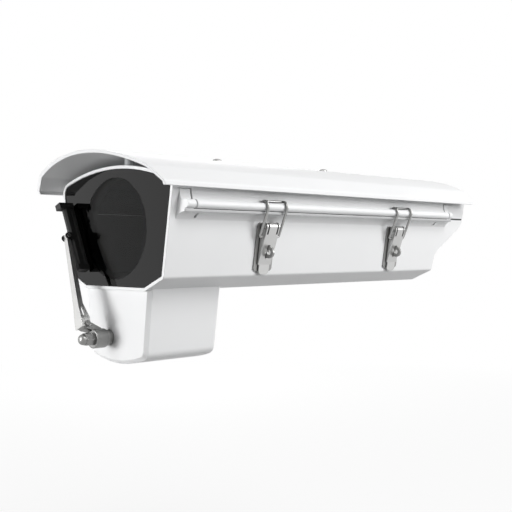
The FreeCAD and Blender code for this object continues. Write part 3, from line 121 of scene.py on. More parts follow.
for source, socket in ((floor_at.outputs["Object"], floor_reach.inputs[0]),
                       (floor_reach.outputs["Value"], fade.inputs["Value"]),
                       (fade.outputs["Result"], seen_share.inputs[0]),
                       (seen_level(floor_tree, 0.0, 1.0), seen_share.inputs[1]),
                       (seen_share.outputs["Value"], floor_mix.inputs["Fac"]),
                       (matte.outputs["BSDF"], floor_mix.inputs[1]),
                       (seen_white.outputs["Emission"], floor_mix.inputs[2]),
                       (floor_mix.outputs["Shader"], floor_tree.nodes["Material Output"].inputs["Surface"])):
    floor_tree.links.new(source, socket)
floor_mesh.materials.append(floor_paint)


def lamp(name, size, power, place, aim):
    """A round lamp of a size in metres and a power in watts. The camera and the glass don't see it."""
    data = bpy.data.lights.new(name, "AREA")
    data.shape = "DISK"
    data.size = size
    data.energy = power
    light = bpy.data.objects.new(name, data)
    light.location = place
    light.rotation_euler = (Vector(aim) - Vector(place)).to_track_quat("-Z", "Y").to_euler()
    light.visible_camera = False
    light.visible_transmission = False
    scene.collection.objects.link(light)


body_middle, front_end = (0.0, 0.0, 0.05), (0.0, -0.15, 0.0)
lamp("side_high", 1.0, 20.0, (1.4, 0.0, 1.5), body_middle)
lamp("side_middle", 0.9, 18.5, (1.45, 0.9, 0.55), body_middle)
lamp("left_low", 0.7, 18.0, (-0.75, -1.75, -0.05), front_end)
lamp("left_middle", 1.0, 11.0, (-0.45, -1.85, 0.55), front_end)
lamp("back_left", 1.2, 15.0, (-1.7, 1.2, 0.35), (0.0, 0.0, 0.0))


# Painted metal: the base casting, the lid and the wiper pod are die-cast aluminium, blasted and powder coated white.
# The coat is satin, with the faint orange peel that powder leaves, and it rolls softly over every edge.
class Value:
    """A number in a finish, so that sums on it can be written out."""

    def __init__(self, finish, socket):
        self.finish = finish
        self.socket = socket

    def maths(self, operation, first, second):
        return self.finish.node("ShaderNodeMath", {"operation": operation}, {0: first, 1: second})

    def __add__(self, other):
        return self.maths("ADD", self, other)

    def __sub__(self, other):
        return self.maths("SUBTRACT", self, other)

    def __rsub__(self, other):
        return self.maths("SUBTRACT", other, self)

    def __mul__(self, other):
        return self.maths("MULTIPLY", self, other)

    def least(self, other):
        return self.maths("MINIMUM", self, other)

    def most(self, other):
        return self.maths("MAXIMUM", self, other)

    __radd__ = __add__
    __rmul__ = __mul__


class Finish:
    """One procedural material, built as values that end in its shader's sockets."""

    def __init__(self, name, **plain):
        self.material = bpy.data.materials.new(name)
        self.material.use_nodes = True
        self.tree = self.material.node_tree
        self.shader = self.tree.nodes["Principled BSDF"]
        for socket, value in plain.items():
            self.set(socket.replace("_", " "), value)

    def connect(self, socket, value):
        if isinstance(value, Value):
            self.tree.links.new(value.socket, socket)
        elif socket.type == "RGBA" and len(value) == 3:
            socket.default_value = (*value, 1.0)
        else:
            socket.default_value = value

    def set(self, socket, value):
        self.connect(self.shader.inputs[socket], value)

    def node(self, kind, settings=None, sockets=None, output=0):
        made = self.tree.nodes.new(kind)
        for key, value in (settings or {}).items():
            setattr(made, key, value)
        for key, value in (sockets or {}).items():
            self.connect(made.inputs[key], value)
        return Value(self, made.outputs[output])

    def place(self, stretch=(1.0, 1.0, 1.0)):
        """Where a point lies on the object, in metres, stretched along the axes."""
        at = self.node("ShaderNodeTexCoord", output="Object")
        return self.node("ShaderNodeMapping", {}, {"Vector": at, "Scale": stretch})

    def noise(self, scale, detail=2.0, stretch=(1.0, 1.0, 1.0)):
        return self.node("ShaderNodeTexNoise", {}, {"Vector": self.place(stretch), "Scale": scale, "Detail": detail},
                         output="Fac")

    def ramp(self, value, low, high):
        """0 below low, 1 above high."""
        return self.node("ShaderNodeMapRange", {"clamp": True}, {"Value": value, "From Min": low, "From Max": high})

    def mix(self, mask, first, second):
        return self.node("ShaderNodeMix", {"data_type": "RGBA"}, {0: mask, 6: first, 7: second}, output=2)

    def surface(self, height, depth, round_edge=0.0):
        """Relief of a given depth in metres, over edges that look rounded."""
        sockets = {"Height": height, "Distance": depth, "Strength": 1.0}
        if round_edge:
            sockets["Normal"] = self.node("ShaderNodeBevel", {"samples": 6}, {"Radius": round_edge})
        self.set("Normal", self.node("ShaderNodeBump", {}, sockets))


def dress(name, finish):
    """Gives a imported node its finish."""
    mesh = nodes[name].data
    mesh.materials.clear()
    mesh.materials.append(finish.material)


def section(coat):
    """Where a point lies in the body: out from its middle plane, along it and up, in metres."""
    at = coat.node("ShaderNodeSeparateXYZ", {}, {"Vector": coat.place()}).socket.node.outputs
    across = coat.node("ShaderNodeMath", {"operation": "ABSOLUTE"}, {0: Value(coat, at["X"])})
    return across, Value(coat, at["Y"]), Value(coat, at["Z"])


soft_line = 0.0002


def inside_shade_mask(coat, back):
    """1 inside the middle of the walls and 0 outside it, where the inside is painted near-black as shade. Each line is
    a limit of the body's section.
    """
    across, along, up = section(coat)
    side = 0.0607 + up * 0.156 - across
    bevel = 0.015 + up * 0.914 - across * 0.4065
    arch = 0.0999 - across * across * 2.4 - up
    front_wall = along + 0.1995
    back_wall = back - along
    steep_back = 0.1557 + up * 0.139 - along * 0.99
    slanted_back = 0.0663 + up * 0.828 - along * 0.561
    rim = (0.0785 - across).least(up - 0.0642).least(0.066 - up)
    floor_skin = up - 0.00125
    inside = side.least(bevel).most(rim).least(arch).least(front_wall.least(back_wall))
    return coat.ramp(inside.least(steep_back.most(slanted_back)).least(floor_skin), 0.0, soft_line)


def rail_shade_band(coat):
    """1 on the outer edge of the lip under the lid's rail, which is painted darker there as the rail's shade."""
    across, _, up = section(coat)
    return coat.ramp((across - 0.0787).least(up - 0.0615).least(0.0641 - up), 0.0, soft_line)


def powder_coat(name, colour, round_edge, back=None):
    """Powder coat outside. Inside, where a back wall is given, the coat is painted near-black as painted shade for the
    closed housing's dark inside.
    """
    coat = Finish(name, IOR=1.4, Coat_Roughness=0.3)
    drift = coat.noise(11.0, 3.0)
    peel = coat.noise(620.0, 2.0)
    grain = coat.noise(2600.0, 1.0)
    shade = [channel * 0.972 for channel in colour]
    paint = coat.mix(coat.ramp(drift, 0.32, 0.68), shade, colour)
    rough = 0.36 + drift * 0.07 + grain * 0.05
    if back:
        inside_shade = inside_shade_mask(coat, back)
        # Painted shade: the inside faces are painted near-black, standing in for the dark inside of the closed
        # housing.
        painted_inside_shade = coat.mix(grain, (0.008, 0.008, 0.008), (0.013, 0.013, 0.013))
        # Painted shade: the lip's edge under the rail is painted grey, standing in for the rail's shadow on it.
        painted_rail_shade = coat.mix(drift, (0.41, 0.415, 0.42), (0.49, 0.495, 0.50))
        paint = coat.mix(inside_shade, coat.mix(rail_shade_band(coat), paint, painted_rail_shade), painted_inside_shade)
        rough = rough + inside_shade * 0.25
        coat.set("Coat Weight", 0.06 - inside_shade * 0.06)
    else:
        coat.set("Coat Weight", 0.06)
    coat.set("Base Color", paint)
    coat.set("Roughness", rough)
    coat.surface(peel * 0.7 + grain * 0.3, 0.00003, round_edge)
    return coat


body_white = (0.87, 0.875, 0.88)
dress("base_housing", powder_coat("housing_powder_coat", body_white, 0.0005, 0.206))
dress("top_cover", powder_coat("lid_powder_coat", body_white, 0.0005, 0.1827))
dress("wiper_pod", powder_coat("pod_powder_coat", body_white, 0.0005))


# Sun hood: one aluminium sheet, pressed to a low arch with flared skirts, then coated like the body.
# It stands off the lid on three spacers, so that air runs between them, and is screwed down twice.
hood_coat = powder_coat("hood_powder_coat", (0.88, 0.885, 0.89), 0.0006)
dress("sun_hood", hood_coat)

spacer_nylon = Finish("spacer_nylon", IOR=1.52)
nylon_drift = spacer_nylon.noise(160.0, 2.0)
spacer_nylon.set("Base Color", spacer_nylon.mix(nylon_drift, (0.50, 0.51, 0.52), (0.60, 0.61, 0.62)))
spacer_nylon.set("Roughness", 0.42 + nylon_drift * 0.14)
spacer_nylon.surface(spacer_nylon.noise(1900.0, 1.0), 0.00002, 0.0002)
for name in ("hood_spacer_front", "hood_spacer_middle", "hood_spacer_rear"):
    dress(name, spacer_nylon)


# Window: a flat pane of toughened glass, printed glossy black round a clear opening, and held in the front frame.
# Behind it a moulded black mask makes a short tunnel round the lens, and a soft seal keeps the rain out.
opening_middle, opening_radius = (0.0, 0.0, 0.0501), 0.0417
pane = Finish("window_glass", Roughness=0.0, IOR=1.2, Transmission_Weight=1.0, Coat_Roughness=0.0)
from_middle = pane.node("ShaderNodeVectorMath", {"operation": "SUBTRACT"},
                        {0: pane.place((1.0, 0.0, 1.0)), 1: opening_middle})
reach = pane.node("ShaderNodeVectorMath", {"operation": "LENGTH"}, {0: from_middle}, output=1)
printed = pane.ramp(reach, opening_radius, opening_radius + soft_line)
clear = pane.mix(pane.noise(9.0), (0.48, 0.495, 0.495), (0.51, 0.52, 0.52))
pane.set("Base Color", pane.mix(printed, clear, (0.0, 0.0, 0.0)))
pane.set("Coat Weight", printed * 0.54)
dress("window_glass", pane)

mask_black = Finish("window_mask_black", IOR=1.5)
mask_drift = mask_black.noise(70.0, 3.0)
mask_black.set("Base Color", mask_black.mix(mask_drift, (0.006, 0.006, 0.006), (0.012, 0.012, 0.012)))
mask_black.set("Roughness", 0.45 + mask_drift * 0.15)
mask_black.surface(mask_black.noise(2400.0, 1.0), 0.00002, 0.0003)
dress("window_mask", mask_black)

seal_rubber = Finish("seal_rubber", IOR=1.5)
bloom = seal_rubber.noise(260.0, 4.0)
seal_rubber.set("Base Color", seal_rubber.mix(seal_rubber.ramp(bloom, 0.35, 0.75),
                                              (0.008, 0.008, 0.008), (0.022, 0.022, 0.022)))
seal_rubber.set("Roughness", 0.62 + bloom * 0.22)
seal_rubber.surface(bloom * 0.6 + seal_rubber.noise(2100.0, 1.0) * 0.4, 0.00006, 0.0002)
for name in ("window_seal", "lid_seal", "blade_rubber"):
    dress(name, seal_rubber)


# Toggle latches: stainless sheet, blanked, folded and tumbled, with a drawn-wire bail that hooks over the lid's rail.
# Each base is held by two rivets through the wall, and its ring takes a padlock through the lever's slot.
def steel(name, colour, rough, stretch, scale, depth, round_edge):
    """Stainless steel with drawing lines, drawn out along the axis where stretch is small."""
    metal = Finish(name, Metallic=1.0)
    lines = metal.noise(scale, 3.0, stretch)
    cloud = metal.noise(55.0, 3.0)
    marks = metal.ramp(metal.noise(340.0, 4.0, (1.0, 1.0, 0.4)), 0.60, 0.74)
    dull = [channel * 0.86 for channel in colour]
    metal.set("Base Color", metal.mix(cloud * 0.6 + lines * 0.4, dull, colour))
    metal.set("Roughness", rough + lines * 0.12 + cloud * 0.06 + marks * 0.05)
    metal.surface(lines, depth, round_edge)
    return metal


sheet_steel = steel("stainless_sheet", (0.56, 0.56, 0.555), 0.27, (1.0, 1.0, 0.05), 1500.0, 0.00002, 0.0003)
wire_steel = steel("stainless_wire", (0.36, 0.36, 0.355), 0.2, (1.0, 1.0, 0.06), 2200.0, 0.00001, 0.0)
turned_steel = steel("turned_steel", (0.34, 0.34, 0.335), 0.24, (1.0, 0.08, 1.0), 1900.0, 0.00001, 0.0002)
base_steel = steel("latch_base_steel", (0.30, 0.30, 0.295), 0.32, (1.0, 1.0, 0.05), 1500.0, 0.00002, 0.0003)
for end in ("front", "rear"):
    dress("latch_base_" + end, base_steel)
    dress("latch_lever_" + end, sheet_steel)
    dress("latch_bail_" + end, wire_steel)
    dress("latch_pin_" + end, turned_steel)
    dress("hinge_pin_" + end, turned_steel)
dress("camera_rail", sheet_steel)
dress("camera_carriage", sheet_steel)


# Screws: button heads with a hexagon socket, turned from stainless bar. Two hold the hood down through its spacers,
# four hold the pod from inside the body, and small ones hold the rail, the heater and the board.
def flats(count):
    """A polygon in place of a circle."""
    part = math.pi / count
    return lambda turn: math.cos(part) / math.cos(turn % (2 * part) - part)


def flutes(count, depth):
    """Finger grooves cut into a circle."""
    return lambda turn: 1.0 - depth * (0.5 + 0.5 * math.cos(count * turn)) ** 3


def lathe(name, rows, turns=24, hollow=False):
    """A turned piece from its rings: (radius, height) or (radius, height, form), from the foot up."""
    mesh = bmesh.new()
    rings = []
    for radius, height, *form in rows:
        ring = []
        for step in range(turns):
            turn = 2 * math.pi * step / turns
            reach = radius * (form[0](turn) if form else 1.0)
            ring.append(mesh.verts.new((reach * math.cos(turn), reach * math.sin(turn), height)))
        rings.append(ring)
    for low, high in zip(rings, rings[1:] + rings[:1] if hollow else rings[1:]):
        for i in range(turns):
            mesh.faces.new((low[i], low[(i + 1) % turns], high[(i + 1) % turns], high[i]))
    if not hollow:
        mesh.faces.new(rings[0][::-1])
        mesh.faces.new(rings[-1])
    return shaded(name, mesh)


def shaded(name, mesh, sharp=35):
    """Turns a built mesh into data with smooth faces and crisp edges."""
    bmesh.ops.recalc_face_normals(mesh, faces=mesh.faces)
    data = bpy.data.meshes.new(name)
    mesh.to_mesh(data)
    mesh.free()
    for face in data.polygons:
        face.use_smooth = True
    data.set_sharp_from_angle(angle=math.radians(sharp))
    return data


def button_screw(name, shank, length, head, height):
    """A button head with a hexagon socket. Its seat is at z 0 and its shank runs below."""
    rows = [(shank * 0.7, -length), (shank, -length + shank * 0.4), (shank, 0.0), (head, 0.0), (head, height * 0.3)]
    full_bend = math.radians(68)
    for part in (0.25, 0.5, 0.75, 1.0):
        bend = part * full_bend
        rows.append((head * math.cos(bend), height * (0.3 + 0.7 * math.sin(bend) / math.sin(full_bend))))
    rows += [(head * 0.36, height * 0.97, flats(6)), (head * 0.34, height * 0.4, flats(6))]
    return lathe(name, rows)


def facing(axis):
    """The turn that lays a turned piece's own axis along this one."""
    return axis.to_track_quat("Z", "Y")


def set_out(name, piece, places, finish, turns=()):
    """Puts one copy of a piece at each place, turned as given there, as plain mesh by a small node tree."""
    tree = bpy.data.node_groups.new(name, "GeometryNodeTree")
    tree.interface.new_socket("Places", in_out="INPUT", socket_type="NodeSocketGeometry")
    tree.interface.new_socket("Piece", in_out="INPUT", socket_type="NodeSocketObject")
    tree.interface.new_socket("Finish", in_out="INPUT", socket_type="NodeSocketMaterial")
    tree.interface.new_socket("Set", in_out="OUTPUT", socket_type="NodeSocketGeometry")
    start = tree.nodes.new("NodeGroupInput")
    end = tree.nodes.new("NodeGroupOutput")
    source = tree.nodes.new("GeometryNodeObjectInfo")
    turn = tree.nodes.new("GeometryNodeInputNamedAttribute")
    turn.data_type = "FLOAT_VECTOR"
    turn.inputs["Name"].default_value = "turn"
    rotation = tree.nodes.new("FunctionNodeEulerToRotation")
    copies = tree.nodes.new("GeometryNodeInstanceOnPoints")
    real = tree.nodes.new("GeometryNodeRealizeInstances")
    paint = tree.nodes.new("GeometryNodeSetMaterial")
    join = tree.links.new
    join(start.outputs["Piece"], source.inputs["Object"])
    join(start.outputs["Places"], copies.inputs["Points"])
    join(source.outputs["Geometry"], copies.inputs["Instance"])
    join(turn.outputs["Attribute"], rotation.inputs["Euler"])
    join(rotation.outputs["Rotation"], copies.inputs["Rotation"])
    join(copies.outputs["Instances"], real.inputs["Geometry"])
    join(real.outputs["Geometry"], paint.inputs["Geometry"])
    join(start.outputs["Finish"], paint.inputs["Material"])
    join(paint.outputs["Geometry"], end.inputs["Set"])
    pattern = bpy.data.objects.new(name + "_pattern", piece)
    scene.collection.objects.link(pattern)
    points = bpy.data.meshes.new(name + "_places")
    points.from_pydata([tuple(place) for place in places], [], [])
    lay = points.attributes.new("turn", "FLOAT_VECTOR", "POINT")
    for i, turned in enumerate(turns):
        lay.data[i].vector = turned
    made = grown(name, points, tree, {"Piece": pattern, "Finish": finish.material})
    bpy.data.objects.remove(pattern)
    return made


def grown(name, base, tree, values):
    """Runs a node tree on a mesh and returns the result as a plain object."""
    holder = bpy.data.objects.new(name + "_holder", base)
    scene.collection.objects.link(holder)
    modifier = holder.modifiers.new("grow", "NODES")
    modifier.node_group = tree
    for item in tree.interface.items_tree:
        if item.in_out == "INPUT" and item.name in values:
            modifier[item.identifier] = values[item.name]
    holder.update_tag()
    graph = bpy.context.evaluated_depsgraph_get()
    mesh = bpy.data.meshes.new_from_object(holder.evaluated_get(graph), depsgraph=graph)
    bpy.data.objects.remove(holder)
    mesh.name = name
    made = bpy.data.objects.new(name, mesh)
    scene.collection.objects.link(made)
    return made


def fit(piece, body, slot, *stands_for):
    """Fixes a finished piece to its body. The slot it is given is not used."""
    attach(piece, body)
    if stands_for:
        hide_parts(*stands_for)
    return piece


def made_of(name, data, finish):
    """A piece from its mesh data and its finish."""
    data.materials.clear()
    data.materials.append(finish.material)
    piece = bpy.data.objects.new(name, data)
    scene.collection.objects.link(piece)
    return piece


hood_head = 0.0026
hood_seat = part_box("hood_screws")[1].z - hood_head
hood_reach = hood_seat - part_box("hood_screws")[0].z
hood_places = [(0.0, y, hood_seat) for y in (-0.0925, 0.057)]
hood_screw = button_screw("hood_screw", 0.0025, hood_reach, 0.0044, hood_head)
fit(set_out("hood_screw_set", hood_screw, hood_places, turned_steel), "lid", "turned_steel", "hood_screws")
washer_rows = [(0.0026, -0.0008), (0.0056, -0.0008), (0.0056, -0.0002), (0.0054, 0.0), (0.0026, 0.0)]
washer = lathe("hood_washer", washer_rows, hollow=True)
fit(set_out("hood_washer_set", washer, hood_places, turned_steel), "lid", "turned_steel")

floor_top = 0.0025
pod_places = [(x, y, floor_top) for x in (-0.030, 0.030) for y in (-0.183, -0.1467)]
fit(set_out("pod_screw_set", button_screw("pod_screw", 0.002, 0.0125, 0.0036, 0.0024), pod_places, turned_steel),
    "housing", "turned_steel", "pod_screws")
rail_places = [(x, y, 0.017) for x in (-0.023, 0.023) for y in (-0.138, 0.048)]
heater_places = [(x, 0.084, 0.016) for x in (-0.022, 0.022)]
board_places = [(x, 0.136, 0.0136) for x in (-0.03, 0.03)]
inner_places = rail_places + heater_places + board_places
fit(set_out("inner_screw_set", button_screw("inner_screw", 0.0015, 0.0086, 0.0029, 0.002), inner_places, turned_steel),
    "housing", "turned_steel", "inner_screws")


# Latch rivets: stainless domed rivets, set through the base plate and the wall, with a flat shop head inside.
# There are two to a latch, square to the slanted wall.
wall_out = Vector((0.98804, 0.0, -0.15421))
rivet_rows = [(0.0021, -0.003), (0.0024, -0.0028), (0.0024, -0.0025), (0.0014, -0.0025), (0.0014, 0.0012)]
rivet_rows += [(0.0024, 0.0012), (0.0023, 0.00135), (0.0019, 0.0016), (0.0011, 0.0017), (0.0004, 0.0017)]
rivet_places = [(x, y, z) for y in (-0.1005, 0.0823) for x, z in ((0.068874, 0.044296), (0.065559, 0.023053))]
fit(set_out("rivet_set", lathe("rivet", rivet_rows), rivet_places, turned_steel,
            [facing(wall_out).to_euler()] * 4),
    "housing", "turned_steel", "latch_rivets")


# Wiper: a motor in the pod turns the shaft through a small gearbox, and the hub carries a sprung channel arm.
# The arm is folded stainless sheet, and the blade is a moulded carrier with a rubber lip that lies on the glass.
black_plastic = Finish("black_plastic", IOR=1.38)
mould = black_plastic.noise(120.0, 3.0)
black_plastic.set("Base Color", black_plastic.mix(mould, (0.006, 0.006, 0.006), (0.012, 0.012, 0.012)))
black_plastic.set("Roughness", 0.44 + mould * 0.16)
black_plastic.surface(black_plastic.noise(2000.0, 2.0), 0.00003, 0.0002)

arm_steel = steel("wiper_arm_steel", (0.62, 0.62, 0.61), 0.22, (1.0, 1.0, 0.05), 1500.0, 0.00001, 0.0002)
dress("wiper_arm", arm_steel)
hub_steel = steel("wiper_hub_steel", (0.27, 0.27, 0.265), 0.26, (1.0, 0.08, 1.0), 1900.0, 0.00001, 0.0002)
for name in ("wiper_shaft", "wiper_hub", "wiper_nut", "knuckle_pin"):
    dress(name, hub_steel)
for name in ("blade_pin", "shaft_bushing", "wiper_motor"):
    dress(name, turned_steel)
dress("blade_carrier", black_plastic)
dress("wiper_gearbox", black_plastic)

shaft_at, parked_turn = (-0.010, 0.0, -0.040), -24.4
parked = Matrix.Translation(shaft_at) @ Matrix.Rotation(math.radians(parked_turn), 4, "Y")
coil_start = Vector((0.0, -0.226657, 0.029874))
coil_along = Vector((0.0, 0.11217, 0.99369))
coil_tree = bpy.data.node_groups.new("arm_coil", "GeometryNodeTree")
coil_tree.interface.new_socket("Base", in_out="INPUT", socket_type="NodeSocketGeometry")
for label in ("Turns", "Radius", "Length", "Wire"):
    coil_tree.interface.new_socket(label, in_out="INPUT", socket_type="NodeSocketFloat")
coil_tree.interface.new_socket("Finish", in_out="INPUT", socket_type="NodeSocketMaterial")
coil_tree.interface.new_socket("Coil", in_out="OUTPUT", socket_type="NodeSocketGeometry")
coil_in = coil_tree.nodes.new("NodeGroupInput")
coil_out = coil_tree.nodes.new("NodeGroupOutput")
spiral = coil_tree.nodes.new("GeometryNodeCurveSpiral")
spiral.inputs["Resolution"].default_value = 20
round_wire = coil_tree.nodes.new("GeometryNodeCurvePrimitiveCircle")
round_wire.inputs["Resolution"].default_value = 8
swept = coil_tree.nodes.new("GeometryNodeCurveToMesh")
swept.inputs["Fill Caps"].default_value = True
real_coil = coil_tree.nodes.new("GeometryNodeRealizeInstances")
paint_coil = coil_tree.nodes.new("GeometryNodeSetMaterial")
for source, socket in (("Turns", "Rotations"), ("Radius", "Start Radius"), ("Radius", "End Radius"),
                       ("Length", "Height")):
    coil_tree.links.new(coil_in.outputs[source], spiral.inputs[socket])
coil_tree.links.new(coil_in.outputs["Wire"], round_wire.inputs["Radius"])
coil_tree.links.new(spiral.outputs["Curve"], swept.inputs["Curve"])
coil_tree.links.new(round_wire.outputs["Curve"], swept.inputs["Profile Curve"])
coil_tree.links.new(swept.outputs["Mesh"], real_coil.inputs["Geometry"])
coil_tree.links.new(real_coil.outputs["Geometry"], paint_coil.inputs["Geometry"])
coil_tree.links.new(coil_in.outputs["Finish"], paint_coil.inputs["Material"])
coil_tree.links.new(paint_coil.outputs["Geometry"], coil_out.inputs["Coil"])
coil_values = {"Turns": 15.0, "Radius": 0.0013, "Length": 0.0165, "Wire": 0.00045, "Finish": wire_steel.material}
coil = grown("arm_coil", bpy.data.meshes.new("coil_base"), coil_tree, coil_values)
coil_hook = 0.003
lay_coil = Matrix.Translation(coil_start - coil_along * coil_hook) @ facing(coil_along).to_matrix().to_4x4()
coil.data.transform(parked @ lay_coil)
fit(coil, "arm", "stainless_wire", "arm_spring")


# Cable glands: nickel-plated brass, screwed through the slanted rear face and held by a locknut inside.
# Each one squeezes a rubber plug that has not yet been cut for a cable.
nickel = Finish("nickel_plate", Metallic=1.0)
plate_cloud = nickel.noise(90.0, 4.0)
nickel.set("Base Color", nickel.mix(plate_cloud, (0.46, 0.44, 0.40), (0.56, 0.54, 0.50)))
nickel.set("Roughness", 0.2 + plate_cloud * 0.16)
nickel.surface(nickel.noise(1200.0, 2.0), 0.00001, 0.0003)
gland_out = Vector((0.0, 0.56107, -0.82777))
gland_seat = Vector((0.0, 0.185, 0.04375))
grip = flutes(18, 0.07)
cap_rows = [(0.0074, 0.0), (0.0113, 0.0), (0.012, 0.0007, grip), (0.012, 0.0088, grip), (0.0115, 0.0094)]
cap_rows += [(0.0112, 0.0102), (0.0102, 0.0113), (0.0091, 0.0118), (0.0086, 0.012), (0.0078, 0.012)]
cap_rows += [(0.0072, 0.0116), (0.0071, 0.004)]
cap_stand = 0.0065
for side, x in (("left", -0.024), ("right", 0.024)):
    dress("gland_body_" + side, nickel)
    dress("gland_seal_" + side, seal_rubber)
    cap = lathe("gland_cap_" + side, cap_rows, 144, hollow=True)
    lay = Matrix.Translation(gland_seat + Vector((x, 0.0, 0.0)) + gland_out * cap_stand)
    cap.transform(lay @ facing(gland_out).to_matrix().to_4x4())
    fit(made_of("gland_cap_" + side, cap, nickel), "housing", "nickel_brass", "gland_nut_" + side)
dress("gland_locknuts", nickel)


# Inside: a slotted rail with a sliding carriage takes the camera. A finned heater with a small fan clears the glass.
# A power board with its terminal block sits behind them, on posts cast into the floor.
extrusion = Finish("heater_extrusion", Metallic=1.0)
draw_lines = extrusion.noise(1300.0, 3.0, (1.0, 0.04, 1.0))
extrusion.set("Base Color", extrusion.mix(draw_lines, (0.66, 0.67, 0.68), (0.80, 0.81, 0.82)))
extrusion.set("Roughness", 0.3 + draw_lines * 0.2)
extrusion.surface(draw_lines, 0.00003, 0.0002)
dress("heater", extrusion)

laminate = Finish("board_laminate", IOR=1.5)
weave = laminate.noise(900.0, 2.0)
tracks = laminate.ramp(laminate.node("ShaderNodeTexBrick", {"offset": 0.35, "squash": 0.7},
                                     {"Vector": laminate.place(), "Scale": 110.0, "Mortar Size": 0.12,
                                      "Mortar Smooth": 0.0}, output="Fac"), 0.3, 0.6)
laminate.set("Base Color", laminate.mix(tracks, (0.012, 0.075, 0.035), (0.03, 0.16, 0.07)))
laminate.set("Roughness", 0.3 + weave * 0.15)
laminate.surface(tracks, 0.00003)
dress("power_board", laminate)

terminal_grey = Finish("terminal_grey", IOR=1.5)
terminal_drift = terminal_grey.noise(200.0, 2.0)
terminal_grey.set("Base Color", terminal_grey.mix(terminal_drift, (0.10, 0.11, 0.115), (0.14, 0.15, 0.155)))
terminal_grey.set("Roughness", 0.45 + terminal_drift * 0.1)
terminal_grey.surface(terminal_grey.noise(1800.0, 1.0), 0.00002, 0.0002)
dress("terminal_block", terminal_grey)

dress("fan_frame", black_plastic)

knurl = flutes(36, 0.06)
stud_rows = [(0.0030, 0.01605), (0.0031, 0.0166), (0.0031, 0.0200), (0.0072, 0.0200), (0.0080, 0.0206, knurl)]
stud_rows += [(0.0080, 0.0224, knurl), (0.0073, 0.02305), (0.0030, 0.02305)]
pitch = 0.00062
for turn in range(9):
    stud_rows += [(0.0031, 0.0234 + turn * pitch), (0.00275, 0.02371 + turn * pitch)]
stud_rows += [(0.0026, 0.02905)]
thumb = lathe("camera_thumb_screw", stud_rows, 144)
thumb.transform(Matrix.Translation((0.0, -0.060, 0.0)))
fit(made_of("camera_thumb_screw", thumb, turned_steel), "carriage", "turned_steel", "camera_screw")

# Fan wheel: one moulded piece, a cup over the motor with seven curved blades.
# Each blade twists flatter towards its tip, where it is a little wider.
wheel = bmesh.new()
wheel_at = Vector((0.0, 0.10925, 0.032))
blade_count, half_blade, blade_camber = 7, 0.0003, 0.0009
for step in range(blade_count):
    spoke = Matrix.Rotation(2 * math.pi * step / blade_count, 4, "Y")
    cuts = []
    for share in (0.0, 0.25, 0.5, 0.75, 1.0):
        reach = 0.0073 + 0.0106 * share
        twist = math.radians(54 - 20 * share)
        chord = 0.0078 + 0.0012 * share
        row = []
        for along in (-0.5, -0.3, -0.1, 0.1, 0.3, 0.5):
            arch = blade_camber * (1 - 4 * along * along)
            row.append((along * chord * math.cos(twist) - arch * math.sin(twist),
                        along * chord * math.sin(twist) + arch * math.cos(twist)))
        low = [wheel.verts.new(spoke @ Vector((x, y - half_blade, reach))) for x, y in row]
        high = [wheel.verts.new(spoke @ Vector((x, y + half_blade, reach))) for x, y in row]
        cuts.append(low + high[::-1])
    for inner, outer in zip(cuts[:-1], cuts[1:]):
        for i in range(len(inner)):
            wheel.faces.new((inner[i], inner[(i + 1) % len(inner)], outer[(i + 1) % len(inner)], outer[i]))
    wheel.faces.new(cuts[0][::-1])
    wheel.faces.new(cuts[-1])
blades = shaded("fan_blades", wheel)
blades.transform(Matrix.Translation(wheel_at))
cup_rows = [(0.00155, -0.0064), (0.0078, -0.0064), (0.0080, -0.0061), (0.0080, -0.0006), (0.0074, 0.0)]
cup_rows += [(0.0030, 0.0), (0.0026, -0.0003), (0.00155, -0.0003)]
cup = lathe("fan_cup", cup_rows, 48, hollow=True)
cup_turn = facing(Vector((0.0, -1.0, 0.0))).to_matrix().to_4x4()
cup.transform(Matrix.Translation((0.0, 0.106, 0.032)) @ cup_turn)
fit(made_of("fan_blades", blades, black_plastic), "rotor", "black_plastic", "fan_rotor")
fit(made_of("fan_cup", cup, black_plastic), "rotor", "black_plastic")


# Power board: capacitors, a wound coil, a relay and small chips soldered to the laminate.
# The terminal block at its edge has a screw clamp in each of its six wells.
def block(name, size, at, edge):
    """A moulded block with softened edges, standing on a point."""
    mesh = bmesh.new()
    bmesh.ops.create_cube(mesh, size=1.0)
    bmesh.ops.scale(mesh, vec=size, verts=mesh.verts)
    bmesh.ops.translate(mesh, vec=Vector(at) + Vector((0.0, 0.0, size[2] / 2)), verts=mesh.verts)
    bmesh.ops.bevel(mesh, geom=mesh.edges, offset=edge, segments=2, affect="EDGES")
    return shaded(name, mesh)


board_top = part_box("power_board")[1].z
sleeve_rows = [(0.0046, 0.0), (0.005, 0.0004), (0.005, 0.0011), (0.0047, 0.0016), (0.005, 0.0021), (0.005, 0.0122)]
sleeve_rows += [(0.0047, 0.0126), (0.0041, 0.0126), (0.0040, 0.0123), (0.0015, 0.0123)]
sleeve = Finish("capacitor_sleeve", IOR=1.5)
sleeve_drift = sleeve.noise(300.0, 2.0)
sleeve.set("Base Color", sleeve.mix(sleeve_drift, (0.012, 0.02, 0.05), (0.02, 0.03, 0.07)))
sleeve.set("Roughness", 0.24 + sleeve_drift * 0.14)
capacitor_places = [(-0.019, 0.144, board_top), (-0.007, 0.145, board_top)]
fit(set_out("board_capacitors", lathe("capacitor", sleeve_rows, 32), capacitor_places, sleeve),
    "housing", "terminal_plastic")

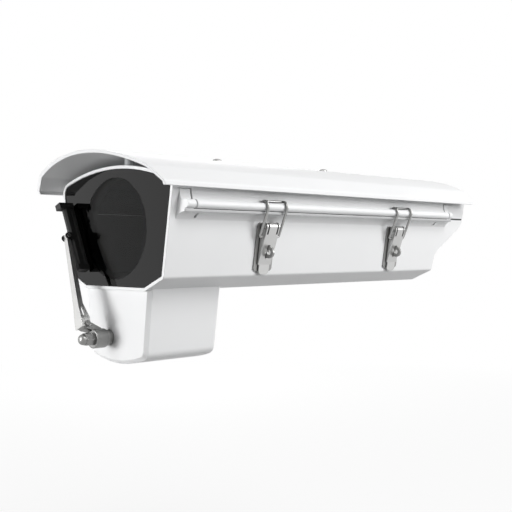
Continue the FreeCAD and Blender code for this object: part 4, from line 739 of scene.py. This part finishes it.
core_turns, points_a_turn = 40, 8
ring_radius, strand_radius, ring_height = 0.0045, 0.0021, 0.0026
winding = bpy.data.curves.new("board_coil_line", "CURVE")
winding.dimensions = "3D"
winding.bevel_depth = 0.00022
winding.bevel_resolution = 2
strand = winding.splines.new("POLY")
strand.points.add(core_turns * points_a_turn - 1)
strand.use_cyclic_u = True
for step, point in enumerate(strand.points):
    around = 2 * math.pi * step / (core_turns * points_a_turn)
    spread = ring_radius + strand_radius * math.cos(around * core_turns)
    rise = ring_height + strand_radius * math.sin(around * core_turns)
    point.co = (spread * math.cos(around), spread * math.sin(around), rise, 1)
copper = Finish("enamelled_copper", Metallic=1.0)
copper_drift = copper.noise(700.0, 2.0)
copper.set("Base Color", copper.mix(copper_drift, (0.42, 0.14, 0.05), (0.62, 0.24, 0.09)))
copper.set("Roughness", 0.24 + copper_drift * 0.12)
wound = bpy.data.objects.new("board_coil_line", winding)
scene.collection.objects.link(wound)
graph = bpy.context.evaluated_depsgraph_get()
turns_mesh = bpy.data.meshes.new_from_object(wound.evaluated_get(graph), depsgraph=graph)
bpy.data.objects.remove(wound)
coil_at = Matrix.Translation((0.0075, 0.144, board_top))
turns_mesh.transform(coil_at)
fit(made_of("board_coil", turns_mesh, copper), "housing", "nickel_brass")
core = lathe("coil_core", [(0.0028, 0.0008), (0.0062, 0.0008), (0.0062, 0.0044), (0.0028, 0.0044)], 32, hollow=True)
core.transform(coil_at)
fit(made_of("board_coil_core", core, black_plastic), "housing", "black_plastic")

relay = block("board_relay", (0.012, 0.0095, 0.0085), (0.0215, 0.1455, board_top), 0.0004)
fit(made_of("board_relay", relay, terminal_grey), "housing", "terminal_plastic")
chip = block("chip", (0.005, 0.004, 0.0015), (0.0, 0.0, 0.0), 0.00015)
chip_places = [(-0.028, 0.1455, board_top), (-0.012, 0.1355, board_top), (0.0, 0.1365, board_top),
               (0.0125, 0.1355, board_top), (0.021, 0.1365, board_top), (-0.021, 0.1350, board_top)]
fit(set_out("board_chips", chip, chip_places, black_plastic), "housing", "black_plastic")

terminal_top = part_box("terminal_block")[1].z
wells, block_half, clamp_depth = 6, 0.022, 0.0022
clamp_places = [((i + 0.5) * 2 * block_half / wells - block_half, 0.1275, terminal_top - clamp_depth)
                for i in range(wells)]
clamp = button_screw("terminal_clamp", 0.0012, 0.003, 0.0016, 0.0012)
fit(set_out("terminal_clamps", clamp, clamp_places, nickel), "housing", "nickel_brass")
